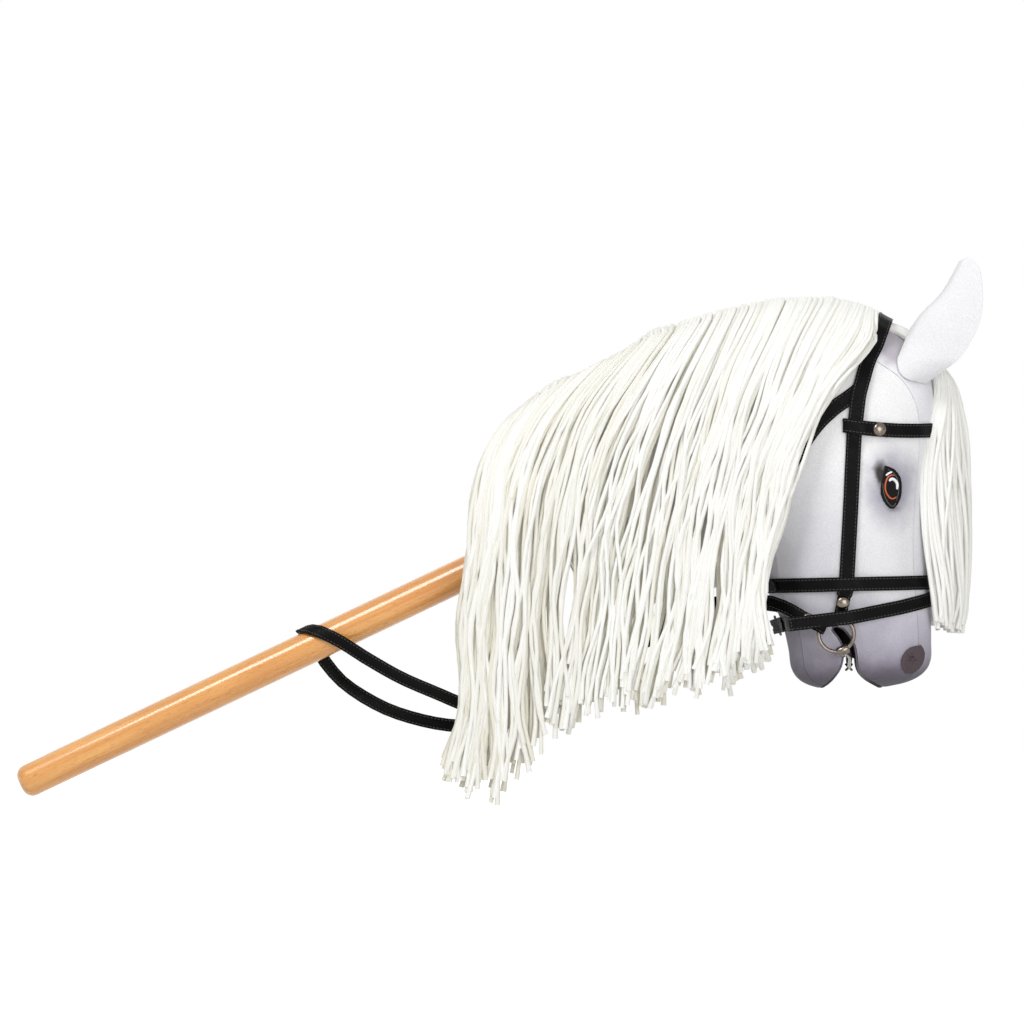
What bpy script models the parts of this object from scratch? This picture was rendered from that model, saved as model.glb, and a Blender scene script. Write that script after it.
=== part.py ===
"""Hobby horse: a beech stick, a stuffed cloth head with a yarn mane, and a bridle with a jointed bit.

The frame is in metres with +Z up. The horse looks along +X, and its near side is -Y. The stick slopes up to
the head, and the origin is on its axis where a hand grips it. Outlines are (x, z) pairs in millimetres.
"""

import math

import bmesh
import bpy
from mathutils import Matrix, Vector
from mathutils.bvhtree import BVHTree

MM = 0.001
GAP = 0.4 * MM  # between two pieces that lie on each other
NEAR, FAR = -1, 1

# Stick
STICK_DIAMETER = 28 * MM
STICK_SLOPE = math.radians(25.43)
STICK_BELOW_GRIP = 210 * MM
STICK_ABOVE_GRIP = 570 * MM
STICK_BUTT_ROUND = 9.5 * MM
STICK_TOP_BEVEL = 2 * MM
STICK_CLEARANCE = 0.5 * MM

# Stuffed head: the upper and lower outline of the cover, station by station, and half its width there
CREST = (
    (225.4, 209.9), (271.1, 243.0), (337.3, 278.6), (405.1, 304.0), (466.2, 315.9),
    (515.4, 312.5), (549.3, 297.2), (572.2, 276.9), (585.8, 249.7), (588.3, 215.8),
    (584.1, 169.2), (581.5, 122.5), (582.4, 84.4), (584.9, 50.5), (585.3, 29.3),
)
UNDERSIDE = (
    (300.8, 53.8), (332.2, 60.6), (369.5, 68.3), (400.0, 77.0), (421.0, 86.5),
    (433.0, 95.0), (438.5, 99.0), (442.0, 96.5), (443.3, 90.5), (444.6, 83.0),
    (446.7, 74.0), (450.9, 64.0), (456.0, 53.8), (461.1, 38.6), (464.5, 21.6),
)
HALF_WIDTH = (46, 48, 50, 52, 54, 56, 57, 58, 58, 58, 57, 54, 50, 46, 43.5)
# Seams beside the upper and the lower gusset, in degrees round the section from its crest or its underside
UPPER_SEAM = (30, 30, 30, 30, 32, 38, 46, 44, 42, 41, 41, 41, 41, 41, 41)
LOWER_SEAM = (36, 36, 36, 36, 36, 36, 36, 36, 36, 36, 36, 36, 38, 40, 40)
SEAM_GAP = 0.25 * MM  # from each panel's edge to the seam line
FULLNESS = 2.5  # 2 makes the sections ellipses, and more makes them squarer
MUZZLE_DEPTH = 33.5 * MM
MUZZLE_FULLNESS = 3.0
MUZZLE_RINGS = (0.30, 0.55, 0.75, 0.90, 0.975, 0.998)
CLOTH = 1.6 * MM
STATION_STEPS = 2
NECK_END, HEAD_END = 5, 13

# Mouth slit between the lips, seen from the side
REAR_LIP = (
    (490.6, -8.9), (497.4, -4.4), (503.9, 2.6), (508.6, 10.6),
    (510.4, 20.8), (509.4, 29.3), (505.2, 36.9), (501.0, 42.0),
)
FRONT_LIP = (
    (503.5, 44.5), (509.4, 42.0), (515.4, 35.2), (519.0, 26.7), (520.4, 18.2),
    (521.2, 10.6), (524.2, 4.7), (529.9, -0.8), (538.0, -5.5), (544.8, -8.9),
)
LINING = 1.2 * MM

# Ears: the fold and the free edge of each, seen from the side, and half the cup's depth
EAR_ROOT = ((582.5, 258.0), (569.0, 273.0), (556.5, 271.5), (560.5, 256.5), (580.0, 252.3))
EAR_FOLD = ((555.5, 268.5), (565.5, 291.0), (578.5, 310.5), (596.0, 328.5), (611.5, 355.7))
EAR_EDGE = ((581.0, 252.5), (605.3, 269.2), (622.2, 294.7), (628.2, 321.8), (624.8, 349.8), (617.1, 357.9))
EAR_CUP = (8, 11, 13, 12, 8, 3)
EAR_ROOT_Y, EAR_TIP_Y = 31 * MM, 35 * MM
EAR_CLOTH = 1.2 * MM
EAR_ROOT_LIFT = 2.8 * MM

# Eye and nostril patches on the side panels
EYE_OUTLINE = (
    (544.5, 181.4), (552.2, 178.6), (557.8, 171.5), (558.8, 163.1), (557.8, 153.2),
    (552.2, 144.8), (545.8, 147.6), (540.9, 157.5), (541.7, 167.3), (543.4, 174.3),
)
NOSTRIL_OUTLINE = (
    (575.4, 29.0), (578.6, 22.5), (576.6, 13.5), (570.5, 6.6),
    (562.5, 5.8), (558.6, 12.5), (560.2, 20.5), (566.5, 27.0),
)
PATCH = 1.0 * MM

# Mane and forelock
MANE_SPAN = (5.55, 0.2)  # stations of the crest where the yarn starts and ends
MANE_HEM = (
    (440.5, 20.8), (426.1, 8.4), (404.9, -6.9), (379.7, -14.0), (345.8, -20.8),
    (311.9, -29.3), (282.2, -41.1), (252.5, -61.5), (218.6, -84.5), (176.9, -74.7),
)
MANE_SWEEP = 2.3
MANE_STEPS = (0, 0.015, 0.035, 0.06, 0.1, 0.16, 0.24, 0.34, 0.45, 0.56, 0.67, 0.78, 0.89, 1)
MANE_GAP = 4.4 * MM
MANE_SEAT = 1.6 * MM
MANE_THICKNESS = 16.0 * MM
MANE_ROOT_SHARE = 0.5
MANE_BASE_SHARE = 0.85  # the same, where the crest meets the neck's base
MANE_STAND_OFF = 42 * MM
FORELOCK_LINE = (
    (547.6, 301.2), (562.0, 295.6), (578.8, 280.2), (590.0, 264.2), (598.6, 247.0),
    (605.0, 211.6), (606.8, 169.2), (606.8, 118.3), (606.0, 67.4), (604.0, 46.0),
)
FORELOCK_HALF_THICK = (2.4, 3.8, 5.0, 6.6, 9.4, 12.0, 14.0, 14.2, 13.5, 10.5)
FORELOCK_HALF_WIDE = (13, 13, 13, 13, 15, 28, 34, 34, 32, 28)
FORELOCK_BEND = (0, 0, 0, 0, 1, 8, 12, 12, 10, 8)  # how far its sides lie behind its middle
TAPE_HALF_ANGLE = math.radians(10)
TAPE = 1.0 * MM

# Bridle straps, seen from the side
STRAP_WIDTH = 13 * MM
NOSE_STRAP_WIDTH = 12 * MM
FOLD_WIDTH = 11 * MM
STRAP = 1.5 * MM
STRAP_LIFT = 0.8 * MM
CROWN_LIFT = 8.0 * MM
THROATLATCH_LIFT = 1.6 * MM
CROWN_LENGTH = 34 * MM
HEADPIECE_LINE = (
    (553.0, 320.0), (546.6, 308.0), (542.0, 296.7), (537.3, 283.7), (531.0, 271.0),
    (525.8, 254.0), (522.4, 240.4), (519.9, 220.9), (518.4, 205.3), (515.9, 152.2),
    (514.1, 118.3), (512.2, 84.4), (510.5, 71.5),
)
BROWBAND_LINE = ((509.5, 215.4), (592.0, 211.9))
BROWBAND_SAG = 2.5 * MM
BROWBAND_RIVET_X = 539.5 * MM
THROATLATCH_LINE = (
    (525.0, 247.4), (515.4, 239.7), (499.4, 228.2), (484.0, 212.3),
    (466.0, 184.4), (446.0, 143.7), (424.0, 103.3), (404.0, 63.0),
)
NOSEBAND_LINE = ((441.0, 79.3), (586.0, 82.3))
FLASH_LINE = ((455.0, 46.3), (590.0, 69.6))
FLASH_SAG = 4.0 * MM
RIVET_RADIUS = 5.9 * MM
RIVET_HEIGHT = 2.6 * MM
RIVET_SHANK = 1.3 * MM
KEEPER_WIDTH = 12 * MM
KEEPER_HEIGHTS = (90.6 * MM, 61.6 * MM)

# Bit. Angles are in degrees round the ring from its top, towards +X
RING_CENTRE = (503.5, 38.4)
RING_RADIUS = 14.9 * MM
RING_WIRE = 2.2 * MM
CHEEK_FOLD_ANGLE = 12
REIN_FOLD_ANGLE = -63
FOLD_ACROSS = 2.6 * MM
FOLD_ALONG = 3.7 * MM
FOLD_CLOSED_AT = 6 * MM
TAIL_LENGTH = 17.5 * MM
RIVET_FROM_WIRE = 12 * MM
BIT_ANGLE = 157
BIT_BOSS_RADIUS = 4.4 * MM
BIT_BOSS_LENGTH = 10.5 * MM
BIT_CLEARANCE = 0.4 * MM
BIT_BODY = ((509.6, 52.0, 24.6, 3.4), (513.0, 47.5, 22.6, 3.0), (515.2, 42.5, 20.4, 2.3), (515.3, 22.0, 14.8, 2.1))
LINK_CENTRE = (515.3, 10.0)
LINK_RADIUS = 3.3 * MM
LINK_WIRE = 1.15 * MM
LINK_SPREAD = 3.9 * MM

# Buckles behind the jaw
BUCKLE_WIRE = 1.1 * MM
BUCKLE_HALF_LENGTH = 7.5 * MM
BUCKLE_MARGIN = 2.0 * MM
BAR_HEIGHT = 3.4 * MM
TONGUE_WIRE = 0.8 * MM
# A buckled strap seen from its edge: the distance from the middle of the jaw and the height of the face that
# lies outside, from the folded end to the heel bar, and from the front bar to the tip
HEEL_END = (
    (18.5, 1.9), (15.0, 1.9), (12.5, 2.1), (10.5, 3.4), (8.7, 4.9), (7.5, 5.1),
    (6.3, 4.6), (5.8, 3.4), (6.3, 2.2), (7.5, 1.7), (9.5, 1.5), (12.0, 1.5),
)
BILLET_END = (
    (-12.0, 1.5), (-9.0, 1.5), (-6.3, 1.5), (-3.5, 2.4), (-0.5, 4.6), (2.5, 7.2), (5.0, 8.3), (7.5, 8.5),
    (10.5, 8.0), (14.0, 6.6), (18.5, 5.3), (22.0, 4.2), (26.0, 3.4), (31.0, 3.4), (35.0, 3.4), (37.0, 3.4),
)
TONGUE_LINE = (
    (5.64, 2.33), (6.59, 1.45), (7.87, 1.28), (9.02, 1.88), (9.62, 3.03), (9.45, 4.31),
    (8.57, 5.26), (7.5, 5.55), (3.5, 5.6), (-2.0, 5.6), (-7.5, 5.5), (-9.5, 5.4),
)
TONGUE_SLOT = (-3.0, 11.0)
# The browband's folded end: the distance along the line and the height of the face that lies inside
BROWBAND_FOLD = (
    (547.5, 1.5), (540.0, 1.5), (530.0, 1.5), (521.0, 1.5), (513.5, 1.5), (511.0, 1.8),
    (510.4, 2.65), (511.0, 3.5), (513.5, 3.8), (520.0, 3.8), (526.5, 3.8), (530.0, 2.7), (533.0, 1.9),
    (540.0, 1.9), (547.5, 1.9), (552.0, 0.7), (556.0, 0.0),
)

# Reins: the route of each half from its rivet to the top of the stick, as (x, distance to the side, z)
REIN_WIDTH = 11 * MM
REIN_NEAR = (
    (464.0, 46.5, 59.5), (452.0, 38.5, 64.5), (440.0, 32.0, 67.0), (424.0, 30.0, 67.5), (400.0, 29.5, 64.5),
    (366.0, 29.5, 55.0), (326.0, 29.5, 37.0), (295.0, 29.0, 13.0), (268.6, 28.5, -8.9), (244.0, 28.0, -22.3),
    (218.6, 27.0, -27.0), (193.1, 24.5, -23.3), (165.0, 22.0, -12.0), (133.8, 20.0, 1.5), (105.0, 18.5, 18.0),
    (82.0, 17.4, 32.5), (62.0, 12.8, 41.2), (50.0, 0.0, 42.0),
)
REIN_FAR = (
    (462.0, 50.5, 60.0), (449.0, 52.0, 63.0), (434.0, 52.5, 63.0), (405.0, 50.0, 58.0), (366.0, 46.0, 43.0),
    (326.0, 41.0, 22.0), (295.0, 37.0, 0.0), (268.6, 33.0, -19.0), (240.0, 30.0, -33.0), (210.0, 28.0, -40.0),
    (178.0, 26.0, -40.0), (148.0, 24.0, -34.5), (118.0, 22.0, -24.0), (88.0, 20.5, -5.5), (71.0, 19.0, 12.5),
    (60.5, 17.2, 29.3), (53.8, 12.2, 38.8), (50.0, 0.0, 42.0),
)


def clear_scene():
    for group in (bpy.data.objects, bpy.data.meshes, bpy.data.curves, bpy.data.materials, bpy.data.collections):
        for item in list(group):
            group.remove(item)


clear_scene()
parts = bpy.data.collections.new("hobby_horse")
cutters = bpy.data.collections.new("cutters")
bpy.context.scene.collection.children.link(parts)
bpy.context.scene.collection.children.link(cutters)


def material(name, colour, roughness, metallic=0.0):
    made = bpy.data.materials.new(name)
    made.use_nodes = True
    shader = made.node_tree.nodes["Principled BSDF"]
    shader.inputs["Base Color"].default_value = (*colour, 1)
    shader.inputs["Roughness"].default_value = roughness
    shader.inputs["Metallic"].default_value = metallic
    return made


BEECH = material("beech", (0.62, 0.34, 0.13), 0.35)
WHITE_CLOTH = material("white_cloth", (0.86, 0.85, 0.88), 0.9)
DARK_CLOTH = material("dark_lining", (0.03, 0.028, 0.03), 0.9)
STUFFING = material("stuffing", (0.9, 0.9, 0.88), 0.95)
YARN = material("yarn", (0.88, 0.88, 0.84), 0.9)
TAPE_CLOTH = material("tape", (0.8, 0.8, 0.78), 0.85)
EYE_BLACK = material("eye", (0.01, 0.01, 0.01), 0.35)
NOSTRIL_GREY = material("nostril", (0.17, 0.13, 0.14), 0.9)
LEATHER = material("leather", (0.012, 0.012, 0.012), 0.45)
NICKEL = material("nickel", (0.72, 0.69, 0.64), 0.22, 1.0)


def add(name, mesh, finish=None, collection=parts):
    made = bpy.data.objects.new(name, mesh)
    collection.objects.link(made)
    if finish:
        mesh.materials.append(finish)
    if collection is cutters:
        made.hide_render = True
        made.display_type = "WIRE"
    return made


def to_mesh(name, shape, smooth=True):
    for face in shape.faces:
        face.smooth = smooth
    mesh = bpy.data.meshes.new(name)
    shape.to_mesh(mesh)
    shape.free()
    if smooth:
        mesh.set_sharp_from_angle(angle=math.radians(40))
    return mesh


def flat(pair, y=0.0):
    """A point from an (x, z) pair in millimetres."""
    return Vector((pair[0] * MM, y, pair[1] * MM))


def through(values, place):
    """The smooth value at place, from 0 to the last index, through a row of numbers or vectors."""
    last = len(values) - 1
    i = min(int(place), last - 1)
    t = place - i
    before, start, end, after = values[max(i - 1, 0)], values[i], values[i + 1], values[min(i + 2, last)]
    return (
        before * (t * (t - 0.5 - 0.5 * t * t))
        + start * (1 + t * t * (1.5 * t - 2.5))
        + end * (t * (0.5 + t * (2 - 1.5 * t)))
        + after * (t * t * (0.5 * t - 0.5))
    )


def smooth_line(points, steps):
    count = (len(points) - 1) * steps
    return [through(points, k / steps) for k in range(count + 1)]


def even(line, count):
    """count points at even distances along a line of points."""
    reach = [0.0]
    for a, b in zip(line, line[1:]):
        reach.append(reach[-1] + (b - a).length)
    found, i = [], 0
    for k in range(count):
        goal = reach[-1] * k / (count - 1)
        while i < len(line) - 2 and reach[i + 1] < goal:
            i += 1
        share = (goal - reach[i]) / max(reach[i + 1] - reach[i], 1e-12)
        found.append(line[i].lerp(line[i + 1], min(max(share, 0), 1)))
    return found


def length_of(line):
    return sum((b - a).length for a, b in zip(line, line[1:]))


def ease(value, low, high):
    t = min(max((value - low) / (high - low), 0), 1)
    return t * t * (3 - 2 * t)


def grid(rows, around=False, ends=False, away_from=None, fill_first=False, split=False):
    """Faces between rows of points. around closes each row, ends caps the first and the last."""
    shape = bmesh.new()
    lines = [[shape.verts.new(p) for p in row] for row in rows]
    columns = len(rows[0])
    for low, high in zip(lines, lines[1:]):
        for j in range(columns if around else columns - 1):
            k = (j + 1) % columns
            if split:
                shape.faces.new((low[j], low[k], high[k]))
                shape.faces.new((low[j], high[k], high[j]))
            else:
                shape.faces.new((low[j], low[k], high[k], high[j]))
    if ends or fill_first:
        shape.faces.new(list(reversed(lines[0])))
    if ends:
        shape.faces.new(lines[-1])
    if away_from is not None:
        shape.normal_update()
        facing = sum((f.calc_center_median() - away_from).dot(f.normal) * f.calc_area() for f in shape.faces)
        if facing < 0:
            bmesh.ops.reverse_faces(shape, faces=shape.faces)
    return shape


def thicken(made, thickness, side, gap=0.0):
    """Solidify, outwards with side 1 and inwards with side -1, starting a gap away from the sheet."""
    solid = made.modifiers.new("thickness", "SOLIDIFY")
    solid.thickness = thickness
    solid.offset = side * (1 + 2 * gap / thickness)
    return solid


def combine(made, other, operation="DIFFERENCE"):
    boolean = made.modifiers.new(operation.lower(), "BOOLEAN")
    boolean.operation = operation
    boolean.object = other


def prism(name, outline, half_depth):
    """A cutter: an outline of points in the XZ plane, extruded both ways along Y."""
    shape = bmesh.new()
    face = shape.faces.new([shape.verts.new((p.x, -half_depth, p.z)) for p in outline])
    grown = bmesh.ops.extrude_face_region(shape, geom=[face])
    moved = [item for item in grown["geom"] if isinstance(item, bmesh.types.BMVert)]
    bmesh.ops.translate(shape, verts=moved, vec=(0, 2 * half_depth, 0))
    bmesh.ops.recalc_face_normals(shape, faces=shape.faces)
    return add(name, to_mesh(name, shape, smooth=False), collection=cutters)


def turned(name, profile, steps, finish, place, collection=parts):
    """A profile of (radius, height) turned about its own Z and set at place, a matrix."""
    shape = bmesh.new()
    corners = [shape.verts.new((radius, 0, height)) for radius, height in profile]
    for a, b in zip(corners, corners[1:]):
        shape.edges.new((a, b))
    made = add(name, to_mesh(name, shape), finish, collection)
    made.matrix_world = place
    screw = made.modifiers.new("turn", "SCREW")
    screw.steps = screw.render_steps = steps
    screw.use_merge_vertices = True
    screw.merge_threshold = 0.00001
    screw.use_smooth_shade = True
    return made


def standing(origin, up, ahead=Vector((0, 0, 1))):
    """The placing matrix whose Z is up and whose X leans towards ahead."""
    z = up.normalized()
    x = (ahead - z * ahead.dot(z)).normalized()
    placed = Matrix((x, z.cross(x), z)).transposed().to_4x4()
    placed.translation = origin
    return placed


# Stick
STICK_AXIS = Vector((math.cos(STICK_SLOPE), 0, math.sin(STICK_SLOPE)))


def make_stick():
    radius = STICK_DIAMETER / 2
    top, butt = STICK_ABOVE_GRIP, -STICK_BELOW_GRIP
    profile = [(0, top), (radius - STICK_TOP_BEVEL, top), (radius, top - STICK_TOP_BEVEL)]
    for k in range(7):
        turn = math.radians(15 * k)
        profile.append((radius - STICK_BUTT_ROUND * (1 - math.cos(turn)), butt + STICK_BUTT_ROUND * (1 - math.sin(turn))))
    profile.append((0, butt))
    turned("stick", profile, 32, BEECH, standing(Vector(), STICK_AXIS))
    bore = radius + STICK_CLEARANCE
    end = top + 2 * STICK_CLEARANCE
    outline = [(0, end), (bore, end), (bore, 0), (0, 0)]
    return turned("stick_bore", outline, 32, None, standing(Vector(), STICK_AXIS), cutters)


stick_bore = make_stick()


# Cover and filling of the head
LAST = len(CREST) - 1
CREST_POINTS = [flat(pair) for pair in CREST]
UNDERSIDE_POINTS = [flat(pair) for pair in UNDERSIDE]


def section(place):
    """Centre, direction to the crest, half length and half width of the cover's section at a station."""
    at = min(place, LAST)
    crest, under = through(CREST_POINTS, at), through(UNDERSIDE_POINTS, at)
    centre, half = (crest + under) / 2, (crest - under) / 2
    wide = through(HALF_WIDTH, at) * MM
    up, long = half.normalized(), half.length
    if place > LAST:
        depth = place - LAST
        share = (1 - depth**MUZZLE_FULLNESS) ** (1 / MUZZLE_FULLNESS)
        centre = centre + Vector((0, 1, 0)).cross(up) * MUZZLE_DEPTH * depth
        long, wide = long * share, wide * share
    return centre, up, long, wide


def on_cover(place, angle):
    centre, up, long, wide = section(place)
    across, along = math.sin(angle), math.cos(angle)
    reach = (abs(across) ** FULLNESS + abs(along) ** FULLNESS) ** (-1 / FULLNESS)
    return centre + up * (long * reach * along) + Vector((0, NEAR * wide * reach * across, 0))


def seams(place):
    at = min(place, LAST)
    return math.radians(through(UPPER_SEAM, at)), math.pi - math.radians(through(LOWER_SEAM, at))


PANELS = {"face": 6, "near": 7, "jaw": 6, "far": 7}


def ring_of(place):
    """The section's corners, panel after panel, from the seam on the near side of the crest's strip."""
    upper, lower = seams(place)
    full = 2 * math.pi
    corners = []
    for start, end, steps in (
        (-upper, upper, PANELS["face"]),
        (upper, lower, PANELS["near"]),
        (lower, full - lower, PANELS["jaw"]),
        (full - lower, full - upper, PANELS["far"]),
    ):
        corners += [on_cover(place, start + (end - start) * k / steps) for k in range(steps)]
    return corners


def places_between(low, high):
    inner = [k / STATION_STEPS for k in range(LAST * STATION_STEPS + 1)] + [LAST + q for q in MUZZLE_RINGS]
    clear = 0.2 if high < LAST else 0.001
    return [low] + [place for place in inner if low + 0.2 < place < high - clear] + [high]


def cover_form(low, high, lift):
    """The closed form of the cover between two stations, grown by lift."""
    shape = grid([ring_of(place) for place in places_between(low, high)], around=True, ends=True, split=True)
    shape.normal_update()
    for vert in shape.verts:
        vert.co += vert.normal * vert.calc_shell_factor() * lift
    return shape


MUZZLE_END = LAST + MUZZLE_RINGS[-1]
lifted_covers = {}


def side_of_cover(x, z, lift):
    """How far the cover, grown by lift, reaches from the middle plane at (x, z), or None beside it."""
    if lift not in lifted_covers:
        shape = cover_form(0, MUZZLE_END, lift)
        lifted_covers[lift] = BVHTree.FromBMesh(shape)
        shape.free()
    hit = lifted_covers[lift].ray_cast(Vector((x, -1, z)), Vector((0, 1, 0)))[0]
    return None if hit is None else abs(hit.y)


def slit_line(grow):
    """The mouth slit's outline from the rear lip over the corner to the front lip, set back by grow."""
    line = smooth_line([flat(pair) for pair in REAR_LIP + FRONT_LIP], 2)
    moved = []
    for k, at in enumerate(line):
        along = (line[min(k + 1, len(line) - 1)] - line[max(k - 1, 0)]).normalized()
        moved.append(at + Vector((-along.z, 0, along.x)) * grow)
    return moved


SLIT_DEPTH = 80 * MM
BELOW_MUZZLE = -40 * MM


def make_slit_cutters():
    line = slit_line(LINING + GAP)
    corner = max(range(len(line)), key=lambda k: line[k].z)
    low_rear, low_front = line[0].copy(), line[-1].copy()
    low_rear.z = low_front.z = BELOW_MUZZLE
    slit = prism("mouth_slit", [low_rear] + line + [low_front], SLIT_DEPTH)
    above = line[corner].z + 40 * MM
    ahead, behind = line[corner].x + 200 * MM, line[corner].x - 200 * MM
    front_corners = [(line[corner].x - 2 * MM, above), (ahead, above), (ahead, BELOW_MUZZLE)]
    rear_corners = [(behind, BELOW_MUZZLE), (behind, above), (line[corner].x + 2 * MM, above)]
    front = [low_rear] + line[: corner + 1] + [Vector((x, 0, z)) for x, z in front_corners]
    rear = [low_front] + [Vector((x, 0, z)) for x, z in rear_corners] + line[corner:]
    return slit, prism("ahead_of_jaw", front, SLIT_DEPTH), prism("behind_lip", rear, SLIT_DEPTH)


mouth_slit, ahead_of_jaw, behind_lip = make_slit_cutters()


def make_panel(name, panel):
    """One panel of the cover: a strip of its facets, with an inner face a cloth's thickness below."""
    places = places_between(0, MUZZLE_END)
    order = list(PANELS)
    first = sum(PANELS[other] for other in order[: order.index(panel)])
    around = sum(PANELS.values())
    faces = []
    for lift in (0, -CLOTH):
        form = cover_form(0, MUZZLE_END, lift)
        form.verts.ensure_lookup_table()
        rows = []
        for i in range(len(places)):
            row = [form.verts[i * around + (first + k) % around].co.copy() for k in range(PANELS[panel] + 1)]
            row[0] += (row[1] - row[0]).normalized() * SEAM_GAP
            row[-1] += (row[-2] - row[-1]).normalized() * SEAM_GAP
            rows.append(row)
        form.free()
        faces.append(rows)
    shape = bmesh.new()
    outer, inner = [[[shape.verts.new(p) for p in row] for row in rows] for rows in faces]
    last = len(places) - 1
    edge = PANELS[panel]
    for i in range(last):
        for j in range(edge):
            k = j + 1
            shape.faces.new((outer[i][j], outer[i][k], outer[i + 1][k]))
            shape.faces.new((outer[i][j], outer[i + 1][k], outer[i + 1][j]))
            shape.faces.new((inner[i][j], inner[i + 1][k], inner[i][k]))
            shape.faces.new((inner[i][j], inner[i + 1][j], inner[i + 1][k]))
        shape.faces.new((outer[i][0], outer[i + 1][0], inner[i + 1][0], inner[i][0]))
        shape.faces.new((outer[i][edge], inner[i][edge], inner[i + 1][edge], outer[i + 1][edge]))
    for j in range(edge):
        shape.faces.new((outer[0][j], inner[0][j], inner[0][j + 1], outer[0][j + 1]))
        shape.faces.new((outer[last][j], outer[last][j + 1], inner[last][j + 1], inner[last][j]))
    made = add(name, to_mesh(name, shape), WHITE_CLOTH)
    combine(made, mouth_slit)


def make_filling(name, low, high, cuts):
    made = add(name, to_mesh(name, cover_form(low, high, -(CLOTH + GAP))), STUFFING)
    for cutter in cuts:
        combine(made, cutter)


def make_base_panel():
    rim = [p - STICK_AXIS * GAP for p in ring_of(0)]
    shape = bmesh.new()
    shape.faces.new([shape.verts.new(p) for p in reversed(rim)])
    made = add("neck_base_panel", to_mesh("neck_base_panel", shape), WHITE_CLOTH)
    thicken(made, CLOTH, 1)
    combine(made, stick_bore)


def make_mouth_lining():
    half = Vector((0, 52 * MM, 0))
    rows = [[at - half, at + half] for at in slit_line(0)]
    made = add("mouth_lining", to_mesh("mouth_lining", grid(rows)), DARK_CLOTH)
    thicken(made, LINING, -1)
    envelope = add("head_form", to_mesh("head_form", cover_form(0, MUZZLE_END, 0)), collection=cutters)
    combine(made, envelope, "INTERSECT")


make_panel("side_panel_near", "near")
make_panel("side_panel_far", "far")
make_panel("face_gusset", "face")
make_panel("jaw_gusset", "jaw")
make_filling("neck_filling", 0, NECK_END, [stick_bore])
make_filling("head_filling", NECK_END, HEAD_END, [stick_bore, mouth_slit])
make_filling("jaw_filling", HEAD_END, MUZZLE_END, [ahead_of_jaw])
make_filling("lip_filling", HEAD_END, MUZZLE_END, [behind_lip])
make_base_panel()
make_mouth_lining()


# Ears, eyes and nostrils
def ear_point(side, along, across):
    fold = through([flat(pair) for pair in EAR_FOLD], along * (len(EAR_FOLD) - 1))
    edge = through([flat(pair) for pair in EAR_EDGE], along * (len(EAR_EDGE) - 1))
    cup = through(EAR_CUP, along * (len(EAR_CUP) - 1)) * MM
    turn = abs(across) * math.pi / 2
    at = fold.lerp(edge, 1 - math.cos(turn))
    middle = EAR_ROOT_Y + (EAR_TIP_Y - EAR_ROOT_Y) * along
    at.y = side * (middle + math.copysign(cup * math.sin(turn), across))
    return at


def make_ear(name, side):
    rows = []
    for i in range(10):
        rows.append([ear_point(side, i / 9, j / 5) for j in range(-5, 6)])
    for j in range(11):
        root = through([flat(pair) for pair in EAR_ROOT], j * 0.4)
        root.y = side * side_of_cover(root.x, root.z, EAR_ROOT_LIFT)
        rows[0][j] = root
        rows[1][j] = root.lerp(rows[2][j], 0.5)
    centre = (rows[4][0] + rows[4][-1] + rows[4][5]) / 3
    outer, lining = (
        add(piece, to_mesh(piece, grid(rows, away_from=centre, split=True)), WHITE_CLOTH)
        for piece in (f"ear_{name}", f"ear_lining_{name}")
    )
    thicken(outer, EAR_CLOTH, 1, GAP / 2)
    thicken(lining, EAR_CLOTH, -1, GAP / 2)


def make_patch(name, outline, side, finish):
    points = [flat(pair) for pair in outline]
    middle = sum(points, Vector()) / len(points)
    edge = [through(points + points[:1], k / 2) for k in range(2 * len(points))]
    rows = []
    for share in (0.2, 0.55, 0.85, 1.0):
        row = [middle.lerp(p, share) for p in edge]
        for at in row:
            at.y = side * side_of_cover(at.x, at.z, STRAP_LIFT)
        rows.append(row)
    shape = grid(rows, around=True, fill_first=True, away_from=Vector((middle.x, 0, middle.z)))
    made = add(name, to_mesh(name, shape), finish)
    thicken(made, PATCH, 1)


for side_name, side in (("near", NEAR), ("far", FAR)):
    make_ear(side_name, side)
    make_patch(f"eye_{side_name}", EYE_OUTLINE, side, EYE_BLACK)
    make_patch(f"nostril_{side_name}", NOSTRIL_OUTLINE, side, NOSTRIL_GREY)


# Mane and forelock
def make_mane_tape():
    rows = []
    for k in range(23):
        place = 0.15 + 5.6 * k / 22
        rows.append([on_cover(place, TAPE_HALF_ANGLE * j) for j in (-1, 0, 1)])
    made = add("mane_tape", to_mesh("mane_tape", grid(rows)), TAPE_CLOTH)
    thicken(made, TAPE, 1, GAP)


def mane_side(at, lift):
    """How far the mane's middle stands out at a point; below and behind the neck it hangs from the neck's side."""
    for k in range(6):
        reach = side_of_cover(at.x + STICK_AXIS.x * 12 * MM * k, at.z + STICK_AXIS.z * 12 * MM * k, lift)
        if reach is not None:
            return reach
    return 0.0


def root_fullness(share):
    """How thick the mane's root is, as a part of its full thickness, from the poll to the neck's base."""
    return MANE_ROOT_SHARE + (MANE_BASE_SHARE - MANE_ROOT_SHARE) * ease(share, 0.72, 0.98)


def mane_drift(share, down):
    """How much of its way towards the hem a lock has drifted back when it has come down by a part of its drop."""
    middle = 1 - (1 - down) ** MANE_SWEEP
    bulging = 0.72 * (1 - (1 - down) ** 6) + 0.28 * down
    drift = middle + (bulging - middle) * ease(share, 0.6, 1)
    return drift * (1 + (ease(down, -0.08, 0.22) - 1) * (1 - ease(share, 0, 0.16)))


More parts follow.
